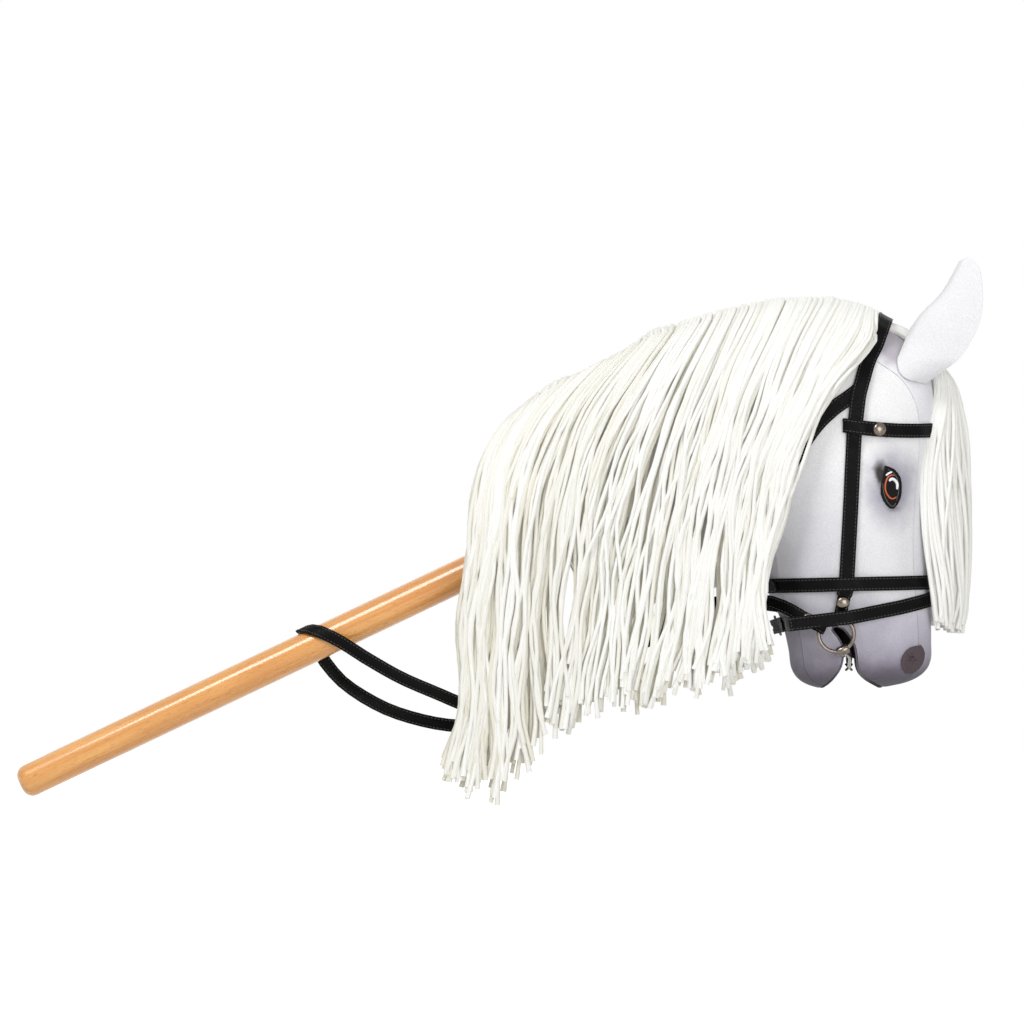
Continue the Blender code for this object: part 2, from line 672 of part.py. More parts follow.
def mane_guide(share):
    """Points of one hanging lock, from the crest to the hem, midway through the mane's thickness."""
    half = MANE_THICKNESS * root_fullness(share) / 2
    seated, lift = TAPE + MANE_SEAT + half, MANE_GAP + half
    swell = MANE_THICKNESS * (1 - root_fullness(share)) / 2
    place = MANE_SPAN[0] + (MANE_SPAN[1] - MANE_SPAN[0]) * share
    root = on_cover(place, 0) + section(place)[1] * seated
    hem = through([flat(pair) for pair in MANE_HEM], share * (len(MANE_HEM) - 1))
    line, out = [root], 0.0
    for k in range(1, 201):
        down = (k / 200) ** 1.5
        at = root.lerp(hem, down)
        at.x = root.x + (hem.x - root.x) * mane_drift(share, down)
        full = ease(down, 0.0, 0.3)
        low = mane_side(at, seated)
        low += (mane_side(at, lift) - low) * ease(down, 0.01, 0.06)
        out = max(out, low + swell * full, MANE_STAND_OFF * full)
        at.y = NEAR * out
        line.append(at)
    fine = even(line, 201)
    return [fine[round(200 * k)] for k in MANE_STEPS]


def make_mane():
    rows = [mane_guide(k / 22) for k in range(23)]
    shape = grid(rows, away_from=Vector((0.36, 0.1, 0.1)))
    made = add("mane", to_mesh("mane", shape), YARN)
    group = made.vertex_groups.new(name="fullness")
    for index in range(len(made.data.vertices)):
        along = MANE_STEPS[index % len(MANE_STEPS)]
        root = root_fullness(index // len(MANE_STEPS) / 22)
        group.add([index], root + (1 - root) * ease(along, 0.05, 0.3), "REPLACE")
    solid = thicken(made, MANE_THICKNESS, 0)
    solid.offset = 0
    solid.vertex_group = group.name


def make_forelock():
    line = [flat(pair) for pair in FORELOCK_LINE]
    rows = []
    for k in range(19):
        place = k / 2
        at = through(line, place)
        along = through(line, min(place + 0.05, 9)) - through(line, max(place - 0.05, 0))
        out = Vector((-along.z, 0, along.x)).normalized() * -1
        thick, wide = through(FORELOCK_HALF_THICK, place) * MM, through(FORELOCK_HALF_WIDE, place) * MM
        bend = through(FORELOCK_BEND, place) * MM
        row = []
        for j in range(16):
            turn = math.tau * j / 16
            reach = (abs(math.sin(turn)) ** 2.4 + abs(math.cos(turn)) ** 2.4) ** (-1 / 2.4)
            aside = reach * math.sin(turn)
            row.append(at + out * (thick * reach * math.cos(turn) - bend * aside**2) + Vector((0, wide * aside, 0)))
        rows.append(row)
    shape = grid(rows, around=True, ends=True)
    bmesh.ops.recalc_face_normals(shape, faces=shape.faces)
    add("forelock", to_mesh("forelock", shape), YARN)


make_mane_tape()
make_mane()
make_forelock()


# Bit rings and mouthpiece
def round_ring(degrees):
    """The unit vector from the ring's centre at an angle from its top, towards +X."""
    turn = math.radians(degrees)
    return Vector((math.sin(turn), 0, math.cos(turn)))


RING_MIDDLE = flat(RING_CENTRE)
cheek_at_ring = max(
    side_of_cover(at.x, at.z, STRAP_LIFT)
    for at in (
        RING_MIDDLE + round_ring(angle) * (RING_RADIUS + TAIL_LENGTH * share)
        for angle in (CHEEK_FOLD_ANGLE, REIN_FOLD_ANGLE)
        for share in (0, 0.5, 1)
    )
)
RING_SIDE = cheek_at_ring + STRAP + FOLD_ACROSS


def torus(name, major, minor, place, finish, collection=parts, segments=(28, 8)):
    bpy.ops.mesh.primitive_torus_add(
        major_radius=major, minor_radius=minor, major_segments=segments[0], minor_segments=segments[1]
    )
    made = bpy.context.object
    for holder in made.users_collection:
        holder.objects.unlink(made)
    mesh = made.data
    bpy.data.objects.remove(made)
    mesh.name = name
    mesh.shade_smooth()
    made = add(name, mesh, finish, collection)
    made.matrix_world = place
    return made


def make_bit(name, side):
    centre = RING_MIDDLE + Vector((0, side * RING_SIDE, 0))
    upright = standing(centre, Vector((0, 1, 0)))
    torus(f"bit_ring_{name}", RING_RADIUS, RING_WIRE, upright, NICKEL)
    hole = torus(f"ring_way_{name}", RING_RADIUS, RING_WIRE + BIT_CLEARANCE, upright, None, cutters)

    out = round_ring(BIT_ANGLE)
    tangent = out.cross(Vector((0, 1, 0)))
    half = BIT_BOSS_LENGTH / 2
    belly = BIT_BOSS_RADIUS
    profile = [(0, half), (belly * 0.78, half), (belly, half * 0.72)]
    profile += [(r, -z) for r, z in reversed(profile)]
    boss_place = standing(centre + out * RING_RADIUS, tangent)
    boss = turned(f"bit_boss_{name}", profile, 16, None, boss_place, cutters)

    link_y = LINK_SPREAD / 2
    link = flat(LINK_CENTRE, side * link_y)
    lean = Vector((1, 0, side))
    eye = torus(f"bit_eye_{name}", LINK_RADIUS, LINK_WIRE, standing(link, lean), None, cutters, (16, 6))

    stations = [(Vector((x * MM, side * y * MM, z * MM)), radius * MM) for x, y, z, radius in BIT_BODY]
    stations[0] = (centre + out * RING_RADIUS, stations[0][1])
    stations.append((link + Vector((0, side * LINK_RADIUS, 0)), LINK_WIRE * 1.5))
    points, radii = [at for at, _ in stations], [radius for _, radius in stations]
    rows = []
    for k in range(2 * (len(points) - 1) + 1):
        at = through(points, k / 2)
        along = (through(points, min(k / 2 + 0.1, 4)) - through(points, max(k / 2 - 0.1, 0))).normalized()
        placed = standing(at, along)
        radius = through(radii, k / 2)
        turns = [math.tau * j / 10 for j in range(10)]
        rows.append([placed @ Vector((radius * math.cos(t), radius * math.sin(t), 0)) for t in turns])
    shape = grid(rows, around=True, ends=True)
    bmesh.ops.recalc_face_normals(shape, faces=shape.faces)
    bmesh.ops.translate(shape, verts=shape.verts, vec=-centre)
    made = add(f"mouthpiece_{name}", to_mesh(f"mouthpiece_{name}", shape), NICKEL)
    made.location = centre
    combine(made, boss, "UNION")
    combine(made, eye, "UNION")
    combine(made, hole)


make_bit("near", NEAR)
make_bit("far", FAR)


# Straps
HEAD_CENTRE = Vector((0.51, 0, 0.16))
MIRROR = Vector((1, -1, 1))


def make_strap(name, rows, side=1, around=False, centre=HEAD_CENTRE):
    """A strap whose rows are its edges and its middle, thick outwards with side 1 and inwards with -1."""
    made = add(name, to_mesh(name, grid(rows, around=around, away_from=centre)), LEATHER)
    thicken(made, STRAP, side)
    return made


def both_sides(row):
    """A row that starts at the middle plane, with its mirror image before it."""
    return [at * MIRROR for at in reversed(row[1:])] + row


def folded_end(side, degrees):
    """Middle points and width directions from a strap's tail, round the ring's wire and out again."""
    out = round_ring(degrees)
    wire = RING_MIDDLE + out * RING_RADIUS
    inner, outer = RING_SIDE - FOLD_ACROSS, RING_SIDE + FOLD_ACROSS
    closed = inner + GAP
    steps = [(TAIL_LENGTH, inner), (0.66 * TAIL_LENGTH, inner), (0.33 * TAIL_LENGTH, inner)]
    for k in range(7):
        turn = math.pi * k / 6
        steps.append((-FOLD_ALONG * math.sin(turn), RING_SIDE - FOLD_ACROSS * math.cos(turn)))
    steps += [(FOLD_CLOSED_AT * share, outer + (closed - outer) * ease(share, 0, 1)) for share in (0.35, 0.7, 1)]
    steps += [(RIVET_FROM_WIRE, closed), (TAIL_LENGTH, closed)]
    across = Vector((-out.z, 0, out.x))
    return [(wire + out * along + Vector((0, side * y, 0)), across) for along, y in steps]


def rivet(name, at, out, pieces):
    """A domed rivet whose shank goes through both layers of the strap. at is on the outer layer's inner face."""
    depth = 2 * STRAP + GAP
    dome = [(0, RIVET_HEIGHT)]
    for k in range(1, 5):
        turn = math.radians(20 * k)
        dome.append((RIVET_RADIUS * math.sin(turn), RIVET_HEIGHT * math.cos(turn)))
    dome += [(RIVET_RADIUS, 0.2 * MM), (RIVET_RADIUS, 0), (RIVET_SHANK, 0), (RIVET_SHANK, -depth), (0, -depth)]
    place = standing(at + out * (STRAP + GAP), out)
    turned(f"rivet_{name}", dome, 14, NICKEL, place)
    hole = RIVET_SHANK + GAP
    reach = depth + 3 * GAP
    hollow = [(0, GAP), (hole, GAP), (hole, -reach), (0, -reach)]
    made = turned(f"rivet_hole_{name}", hollow, 12, None, place, cutters)
    for piece in pieces:
        combine(piece, made)


def rise_between(z, low, high, run):
    return ease(z, low - run, low) * (1 - ease(z, high, high + run))


def cheekpiece_rise(z):
    """How far the cheekpiece stands off where the throatlatch, the browband's tail and its own tail pass under."""
    throatlatch, browband = THROATLATCH_LINE[0][1] * MM, BROWBAND_LINE[0][1] * MM
    tail = RING_MIDDLE.z + RING_RADIUS + TAIL_LENGTH
    over_throatlatch = rise_between(z, throatlatch - 19 * MM, throatlatch + 9 * MM, 12 * MM)
    over_browband = rise_between(z, browband - 9 * MM, browband + 8 * MM, 12 * MM)
    over_tail = 1 - ease(z, tail, tail + 30 * MM)
    return (STRAP + GAP) * max(over_throatlatch, over_browband, over_tail)


def side_rows(points, width, lift_at):
    """Rows of a strap that follows a line seen from the side. lift_at gives each point's lifts and their blend."""
    line = smooth_line(points, 40)
    rows = []
    for share in (-1, 0, 1):
        row, reached = [], 0.0
        for k, centre in enumerate(line):
            along = (line[min(k + 1, len(line) - 1)] - line[max(k - 1, 0)]).normalized()
            at = centre + Vector((along.z, 0, -along.x)) * (width * share / 2)
            low, high, blend, extra = lift_at(centre, reached)
            wide, tight = side_of_cover(at.x, at.z, high), side_of_cover(at.x, at.z, low)
            if wide is None:
                if row:
                    row.append(Vector((at.x, 0, at.z)))
                    break
                continue
            if not row and k > 0:
                row.append(Vector((at.x, 0, at.z)))
            if row:
                reached = max(reached, (at - Vector((row[0].x, 0, row[0].z))).length)
            at.y = NEAR * (wide + ((tight or 0.0) + extra - wide) * blend)
            row.append(at)
        rows.append(row)
    return rows


def even_rows(rows, count):
    return [even(row, count) for row in rows]


def make_headpiece():
    """Crownpiece and cheekpieces: one strap over the poll, both ends folded round the bit rings."""

    def lifts(at, reached):
        return STRAP_LIFT, CROWN_LIFT, ease(reached, 3 * MM, CROWN_LENGTH), cheekpiece_rise(at.z)

    rows = even_rows(side_rows([flat(pair) for pair in HEADPIECE_LINE], STRAP_WIDTH, lifts), 40)
    end = folded_end(NEAR, CHEEK_FOLD_ANGLE)
    for share, row in zip((-1, 0, 1), rows):
        row += [at + across * (FOLD_WIDTH * share / 2) for at, across in reversed(end)]
    return make_strap("headpiece", [both_sides(row) for row in rows]), end


def make_throatlatch():
    def lifts(at, reached):
        return STRAP_LIFT, THROATLATCH_LIFT, 1 - ease(reached, 30 * MM, 70 * MM), 0.0

    rows = even_rows(side_rows([flat(pair) for pair in THROATLATCH_LINE], STRAP_WIDTH, lifts), 32)
    for row in rows:
        row.reverse()
    return make_strap("throatlatch", [both_sides(row) for row in rows])


class Girth:
    """The closed lines that a strap's edges and middle follow round the head, drawn over what lies under it."""

    def __init__(self, ends, width, sag, obstacles, open_rear=False):
        rear, front = flat(ends[0]), flat(ends[1])
        along = (front - rear).normalized()
        across = Vector((along.z, 0, -along.x))
        self.rows = []
        for share in (-1, 0, 1):
            start = rear + across * (width * share / 2)
            reach = (front - rear).length

            def place(t):
                down = sag * 4 * (t / reach) * (1 - t / reach)
                return start + along * t - Vector((0, 0, down))

            def side(t):
                at = place(t)
                return side_of_cover(at.x, at.z, STRAP_LIFT)

            def edge(inside, outside):
                for _ in range(30):
                    middle = (inside + outside) / 2
                    inside, outside = (middle, outside) if side(middle) is not None else (inside, middle)
                return inside

            last = edge(0.6 * reach, 1.2 * reach)
            first = 0.0 if open_rear else edge(0.4 * reach, -0.2 * reach)
            marks = [] if open_rear else [(first, 0.0)]
            for k in range(81):
                t = first + (last - first) * (1 - math.cos(math.pi * k / 80)) / 2
                marks.append((t, side(t) or 0.0))
            marks.append((last, 0.0))
            for t, y in obstacles(first, last):
                marks.append((t, y))
            hull = []
            for mark in sorted(marks):
                while len(hull) > 1 and self.turn(hull[-2], hull[-1], mark) >= 0:
                    hull.pop()
                hull.append(mark)
            if hull[-1][1] > 0:
                hull.append((hull[-1][0], 0.0))
            near = [place(t) + Vector((0, NEAR * y, 0)) for t, y in hull]
            if not open_rear:
                near = near + [at * MIRROR for at in reversed(near[:-1])]
            self.rows.append(near)
        self.spans = [length_of(row) for row in self.rows]

    @staticmethod
    def turn(a, b, c):
        return (b[0] - a[0]) * (c[1] - a[1]) - (b[1] - a[1]) * (c[0] - a[0])

    def base(self, row, s):
        """The point s along a row, counted from the rear; a closed row goes on round."""
        line = self.rows[row]
        closed = (line[0] - line[-1]).length < 1e-6
        s = s % self.spans[row] if closed else min(max(s, 0), self.spans[row])
        for a, b in zip(line, line[1:]):
            step = (b - a).length
            if s <= step:
                return a.lerp(b, s / max(step, 1e-12))
            s -= step
        return line[-1].copy()

    def out(self, row, s):
        along = self.base(row, s + 2 * MM) - self.base(row, s - 2 * MM)
        across = self.base(2, s) - self.base(0, s)
        return across.cross(along).normalized()

    def at(self, row, s, height):
        return self.base(row, s) + self.out(row, s) * height


def over_cheekpiece(line, sag, top_of_ring=False):
    """Obstacles of a strap that crosses the cheekpiece, or the bit ring and its folds."""
    rear, front = flat(line[0]), flat(line[1])
    reach = (front - rear).length

    def marks(first, last):
        found = [(last + STRAP + GAP, y * MM) for y in (0, 5, 10)]
        found += [(first, y * MM) for y in (4, 8, 12)]
        if top_of_ring:
            side = RING_SIDE + FOLD_ACROSS + STRAP + GAP
            low, high = RING_MIDDLE.x - 40 * MM, RING_MIDDLE.x + 12 * MM
        else:
            low, high = 503.0 * MM, 522.0 * MM
            z = rear.z + 2 * MM
            side = max(
                side_of_cover(x, z + dz, STRAP_LIFT) + cheekpiece_rise(z + dz) + STRAP + GAP
                for x in (low, high)
                for dz in (-7 * MM, 0, 7 * MM)
            )
        steps = 5
        for k in range(steps + 1):
            x = low + (high - low) * k / steps
            found.append(((x - rear.x) / (front.x - rear.x) * reach, side))
        return found

    return marks


def make_buckled(name, line, sag, top_of_ring):
    """A strap closed by a buckle behind the jaw, its near end folded round the heel bar."""
    girth = Girth(line, NOSE_STRAP_WIDTH, sag, over_cheekpiece(line, sag, top_of_ring))
    rows = []
    for index in range(3):
        span = girth.spans[index]
        steps = [(s * MM, h * MM) for s, h in HEEL_END]
        count = 58
        low, high = HEEL_END[-1][0] * MM, span + BILLET_END[0][0] * MM
        steps += [(low + (high - low) * k / count, STRAP) for k in range(1, count)]
        steps += [(span + s * MM, h * MM) for s, h in BILLET_END]
        rows.append([girth.at(index, s, h) for s, h in steps])
    for index, pull in ((-1, 0.55), (-2, 0.15)):
        for row in (rows[0], rows[2]):
            row[index] = row[index].lerp(rows[1][index], pull)
    outward = girth.out(1, 0)
    shape = grid(rows)
    shape.normal_update()
    shape.faces.ensure_lookup_table()
    middle = len(HEEL_END) + 10
    facing = shape.faces[middle]
    if facing.normal.dot(facing.calc_center_median() - HEAD_CENTRE) < 0:
        bmesh.ops.reverse_faces(shape, faces=shape.faces)
    made = add(name, to_mesh(name, shape), LEATHER)
    thicken(made, STRAP, -1)
    upright = (girth.base(2, 0) - girth.base(0, 0)).normalized()
    outward = (outward - upright * outward.dot(upright)).normalized()
    heart = girth.base(1, 0)
    near = Vector((0, NEAR, 0))
    make_buckle(name, made, heart, near, outward, upright)
    return made


def wire(name, path, radius, closed, plane, finish, sides=8):
    """A round wire along a flat path, whose plane has the normal given."""
    rows = []
    count = len(path)
    for k, at in enumerate(path):
        ahead = path[(k + 1) % count] if closed else path[min(k + 1, count - 1)]
        behind = path[k - 1] if closed else path[max(k - 1, 0)]
        side = (ahead - behind).normalized().cross(plane)
        turns = [math.tau * (j + 0.5) / sides for j in range(sides)]
        rows.append([at + side * radius * math.cos(t) + plane * radius * math.sin(t) for t in turns])
    shape = bmesh.new()
    lines = [[shape.verts.new(p) for p in row] for row in rows]
    for low, high in zip(lines, lines[1:] + (lines[:1] if closed else [])):
        for j in range(sides):
            k = (j + 1) % sides
            shape.faces.new((low[j], low[k], high[k], high[j]))
    if not closed:
        shape.faces.new(list(reversed(lines[0])))
        shape.faces.new(lines[-1])
    bmesh.ops.recalc_face_normals(shape, faces=shape.faces)
    return add(name, to_mesh(name, shape), finish)


def make_buckle(name, strap, heart, near, outward, upright):
    def place(s, h, u=0.0):
        return heart + near * s + outward * h + upright * u

    half = NOSE_STRAP_WIDTH / 2 + BUCKLE_MARGIN
    corner = 2.0 * MM
    path = []
    for sx, su, first in ((1, 1, 0), (-1, 1, 90), (-1, -1, 180), (1, -1, 270)):
        for k in range(4):
            turn = math.radians(first + 30 * k)
            s = sx * (BUCKLE_HALF_LENGTH - corner) + corner * math.cos(turn)
            u = su * (half - corner) + corner * math.sin(turn)
            path.append(place(s, BAR_HEIGHT, u))
    wire(f"{name}_buckle_frame", path, BUCKLE_WIRE, True, outward, NICKEL)
    tongue = [place(s * MM, h * MM) for s, h in TONGUE_LINE]
    wire(f"{name}_buckle_tongue", tongue, TONGUE_WIRE, False, upright, NICKEL)
    slot = TONGUE_WIRE + GAP
    low, high = (s * MM for s in TONGUE_SLOT)
    shape = bmesh.new()
    around = ((low, -slot), (high, -slot), (high, slot), (low, slot))
    corners = [[shape.verts.new(place(s, h, u)) for s, u in around] for h in (-1.0 * MM, 10.5 * MM)]
    shape.faces.new(corners[0])
    shape.faces.new(corners[1])
    for k in range(4):
        shape.faces.new((corners[0][k], corners[0][k - 1], corners[1][k - 1], corners[1][k]))
    bmesh.ops.recalc_face_normals(shape, faces=shape.faces)
    cutter = add(f"{name}_tongue_slot", to_mesh(f"{name}_tongue_slot", shape, smooth=False), collection=cutters)
    combine(strap, cutter)


def make_browband():
    girth = Girth(BROWBAND_LINE, NOSE_STRAP_WIDTH, BROWBAND_SAG, lambda first, last: [], open_rear=True)
    rows = []
    for index in range(3):
        row, marks = [], []
        for x, h in BROWBAND_FOLD:
            low, high = 0.0, girth.spans[index]
            for _ in range(40):
                middle = (low + high) / 2
                low, high = (middle, high) if girth.base(index, middle).x < x * MM else (low, middle)
            marks.append((low, h * MM))
        last = marks[-1][0]
        count = 16
        marks += [(last + (girth.spans[index] - last) * k / count, 0.0) for k in range(1, count + 1)]
        for s, h in marks:
            row.append(girth.at(index, s, h))
        row[-1].y = 0
        row.reverse()
        rows.append(row)
    made = make_strap("browband", [both_sides(row) for row in rows])
    return made, girth


def make_front_keeper():
    """A flat loop on the nose that the noseband and the flash strap both pass through."""
    top, bottom = KEEPER_HEIGHTS
    inner, outer = STRAP_LIFT + STRAP, STRAP_LIFT + 2 * STRAP + 2 * GAP + 0.1 * MM

    def nose(z):
        low, high = 10.0, 14.0
        for _ in range(40):
            middle = (low + high) / 2
            low, high = (middle, high) if through(CREST_POINTS, middle).z > z else (low, middle)
        return through(CREST_POINTS, low).x

    corner = 0.5 * MM
    steps = [(top - corner - (top - bottom - 2 * corner) * k / 4, inner) for k in range(5)]
    steps += [(bottom, inner + corner), (bottom, outer - corner)]
    steps += [(bottom + corner + (top - bottom - 2 * corner) * k / 4, outer) for k in range(5)]
    steps += [(top, outer - corner), (top, inner + corner)]
    rows = [[Vector((nose(z) + h, y, z)) for z, h in steps] for y in (-KEEPER_WIDTH / 2, KEEPER_WIDTH / 2)]
    middle = Vector((nose((top + bottom) / 2) + (inner + outer) / 2, 0, (top + bottom) / 2))
    return make_strap("front_keeper", rows, around=True, centre=middle)


def make_reins():
    """One strap from ring to ring, with its bight over the stick."""
    up = STICK_AXIS.cross(Vector((0, -1, 0)))

    def half(route):
        points = [Vector((x * MM, NEAR * y * MM, z * MM)) for x, y, z in route]
        end = folded_end(NEAR, REIN_FOLD_ANGLE)
        line = smooth_line([end[-1][0]] + points, 16)
        line = even(line, 46)
        line[-1].y = 0
        samples = list(end)
        for k in range(1, len(line)):
            along = (line[min(k + 1, len(line) - 1)] - line[k - 1]).normalized()
            if k == len(line) - 1:
                along = Vector((0, 1, 0))
            at = line[k]
            from_axis = at - STICK_AXIS * at.dot(STICK_AXIS)
            share = ease(at.x, 60 * MM, 130 * MM)
            out = from_axis.normalized().lerp(Vector((0, NEAR, 0)), share).normalized()
            across = out.cross(along).normalized()
            samples.append((at, across))
        return samples

    near, far = half(REIN_NEAR), half(REIN_FAR)
    samples = near + [(at * MIRROR, across * MIRROR) for at, across in reversed(far[:-1])]
    rows = [[at + across * (REIN_WIDTH * share / 2) for at, across in samples] for share in (-1, 0, 1)]
    shape = grid(rows)
    made = add("reins", to_mesh("reins", shape), LEATHER)
    first = len(folded_end(NEAR, REIN_FOLD_ANGLE)) + 2
    face = made.data.polygons[first]
    outwards = 1 if face.normal.y < 0 else -1
    thicken(made, STRAP, outwards)
    return made


headpiece, cheek_fold = make_headpiece()
throatlatch = make_throatlatch()
browband, brow_girth = make_browband()
noseband = make_buckled("noseband", NOSEBAND_LINE, 0.0, False)
flash_strap = make_buckled("flash_strap", FLASH_LINE, FLASH_SAG, True)
make_front_keeper()
reins = make_reins()


def make_rivets():
    out = Vector((0, NEAR, 0))
    for name, piece, degrees in (("cheek", headpiece, CHEEK_FOLD_ANGLE), ("rein", reins, REIN_FOLD_ANGLE)):
        at = folded_end(NEAR, degrees)[-2][0]
        rivet(f"{name}_near", at, out, [piece])
        rivet(f"{name}_far", at * MIRROR, -out, [piece])
    low, high = 0.0, brow_girth.spans[1]
    for _ in range(40):
        middle = (low + high) / 2
        low, high = (middle, high) if brow_girth.base(1, middle).x < BROWBAND_RIVET_X else (low, middle)
    at, out = brow_girth.at(1, low, STRAP + GAP), brow_girth.out(1, low)
    rivet("brow_near", at, out, [browband])
    rivet("brow_far", at * MIRROR, out * MIRROR, [browband])


make_rivets()
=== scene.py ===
"""Looks of the hobby horse: velour head, wool mane and forelock, stitched black bridle, nickel bit, beech stick."""

import math
import random

import bmesh
import bpy
from mathutils import Matrix, Vector
from mathutils.bvhtree import BVHTree
from mathutils.kdtree import KDTree


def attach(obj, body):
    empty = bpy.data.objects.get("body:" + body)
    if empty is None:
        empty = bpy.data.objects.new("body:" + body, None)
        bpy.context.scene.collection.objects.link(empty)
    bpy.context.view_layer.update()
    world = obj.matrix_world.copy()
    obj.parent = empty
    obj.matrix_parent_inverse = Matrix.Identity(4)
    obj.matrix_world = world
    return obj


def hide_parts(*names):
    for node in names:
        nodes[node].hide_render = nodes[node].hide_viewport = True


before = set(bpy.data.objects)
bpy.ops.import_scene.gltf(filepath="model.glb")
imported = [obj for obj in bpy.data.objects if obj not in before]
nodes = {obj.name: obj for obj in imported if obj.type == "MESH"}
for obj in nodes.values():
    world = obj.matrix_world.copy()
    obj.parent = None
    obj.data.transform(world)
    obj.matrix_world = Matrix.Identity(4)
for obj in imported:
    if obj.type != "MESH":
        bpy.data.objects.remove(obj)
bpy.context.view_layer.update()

# Studio. The horse is held up in the middle of a white room, well above a pale floor, and a long lens looks
# square at its near side. Wide soft lamps from the front and above leave a light stripe along the stick.
PICTURE_SIDE = 1024
PIXEL = 0.000848
VIEW_X, VIEW_Z = 0.2287, 0.1420
CAMERA_DISTANCE = 14.0
CAMERA_SENSOR = 36
CAMERA_SIGHT = 90
NEAR_SIDE = 0.045
LAMP_AIM = Vector((0.3, 0, 0.15))
LAMPS = (
    ("key", (-1.15, -1.9, 2.5), 1.3, 50),
    ("front", (1.3, -2.9, 0.7), 1.8, 37),
    ("back", (0.4, 2.6, 2.0), 2.2, 28),
)
ROOM_LIGHT = 0.45
FLOOR_HEIGHT, FLOOR_SIDE = -0.36, 40
FLOOR_GLOW_REACH = (0.6, 2.2)
FLOOR_GLOW = (0.54, 0.93)


def tone(red, green, blue):
    """A colour from 0 to 255 as a screen shows it, in the linear values that a shader takes."""
    line = []
    for value in (red, green, blue):
        share = value / 255
        line.append(share / 12.92 if share <= 0.04045 else ((share + 0.055) / 1.055) ** 2.4)
    return (*line, 1.0)


def add_node(tree, kind, inputs=None, **settings):
    """A shader node with its settings, and with a value or another node's socket for each input named."""
    made = tree.nodes.new(kind)
    for key, value in settings.items():
        setattr(made, key, value)
    for key, value in (inputs or {}).items():
        if isinstance(value, bpy.types.NodeSocket):
            tree.links.new(value, made.inputs[key])
        else:
            made.inputs[key].default_value = value
    return made


def new_finish(name, **values):
    """A material with one Principled BSDF, its plain values set, and the shader and the tree to build on."""
    made = bpy.data.materials.new(name)
    made.use_nodes = True
    shader = made.node_tree.nodes["Principled BSDF"]
    for key, value in values.items():
        shader.inputs[key.replace("_", " ")].default_value = value
    return made, shader, made.node_tree


def worked(tree, operation, *values):
    """The result of a sum of one kind on numbers and sockets."""
    return add_node(tree, "ShaderNodeMath", dict(enumerate(values)), operation=operation).outputs[0]


def ranged(tree, value, low, high, start=0.0, end=1.0):
    """A value between low and high carried over to between start and end, and held at both."""
    span = {"Value": value, "From Min": low, "From Max": high, "To Min": start, "To Max": end}
    return add_node(tree, "ShaderNodeMapRange", span).outputs[0]


def ray_mask(tree, *kinds):
    """1 for rays of the named kinds and 0 for the rest, so that what is seen can differ from what lights."""
    rays = add_node(tree, "ShaderNodeLightPath").outputs
    mask = rays[f"Is {kinds[0]} Ray"]
    for kind in kinds[1:]:
        mask = worked(tree, "MAXIMUM", mask, rays[f"Is {kind} Ray"])
    return mask


bpy.ops.object.select_all(action="DESELECT")
bpy.ops.object.camera_add(location=(VIEW_X, -CAMERA_DISTANCE, VIEW_Z), rotation=(math.pi / 2, 0, 0))
camera = bpy.context.object
camera.data.sensor_width = CAMERA_SENSOR
camera.data.lens = CAMERA_SENSOR * (CAMERA_DISTANCE - NEAR_SIDE) / (PICTURE_SIDE * PIXEL)
camera.data.clip_end = CAMERA_SIGHT
bpy.context.scene.camera = camera
bpy.context.scene.view_settings.view_transform = "Standard"

for name, place, size, watts in LAMPS:
    aim = LAMP_AIM - Vector(place)
    bpy.ops.object.light_add(type="AREA", location=place, rotation=aim.to_track_quat("-Z", "Y").to_euler())
    lamp = bpy.context.object
    lamp.name = f"lamp_{name}"
    lamp.data.shape = "DISK"
    lamp.data.size = size
    lamp.data.energy = watts

world = bpy.data.worlds.new("white_room")
bpy.context.scene.world = world
world.use_nodes = True
room = world.node_tree
background = room.nodes["Background"]
background.inputs["Color"].default_value = (1, 1, 1, 1)
seen = ray_mask(room, "Camera", "Glossy", "Transmission")
room.links.new(ranged(room, seen, 0.0, 1.0, ROOM_LIGHT, 1.0), background.inputs["Strength"])

bpy.ops.object.select_all(action="DESELECT")
bpy.ops.mesh.primitive_plane_add(size=FLOOR_SIDE, location=(VIEW_X, 0, FLOOR_HEIGHT))
floor = bpy.context.object
floor.name = "pale_floor"
floor_paint, shader, tree = new_finish(
    "floor_paint", Roughness=0.9, Base_Color=(0.62, 0.62, 0.62, 1), Emission_Color=(1, 1, 1, 1),
)
place = add_node(tree, "ShaderNodeTexCoord").outputs["Object"]
reach = add_node(tree, "ShaderNodeVectorMath", {0: place}, operation="LENGTH").outputs["Value"]
glow = ranged(tree, reach, *FLOOR_GLOW_REACH, *FLOOR_GLOW)
glow = worked(tree, "MULTIPLY", ray_mask(tree, "Camera", "Glossy"), glow)
tree.links.new(glow, shader.inputs["Emission Strength"])
floor.data.materials.append(floor_paint)

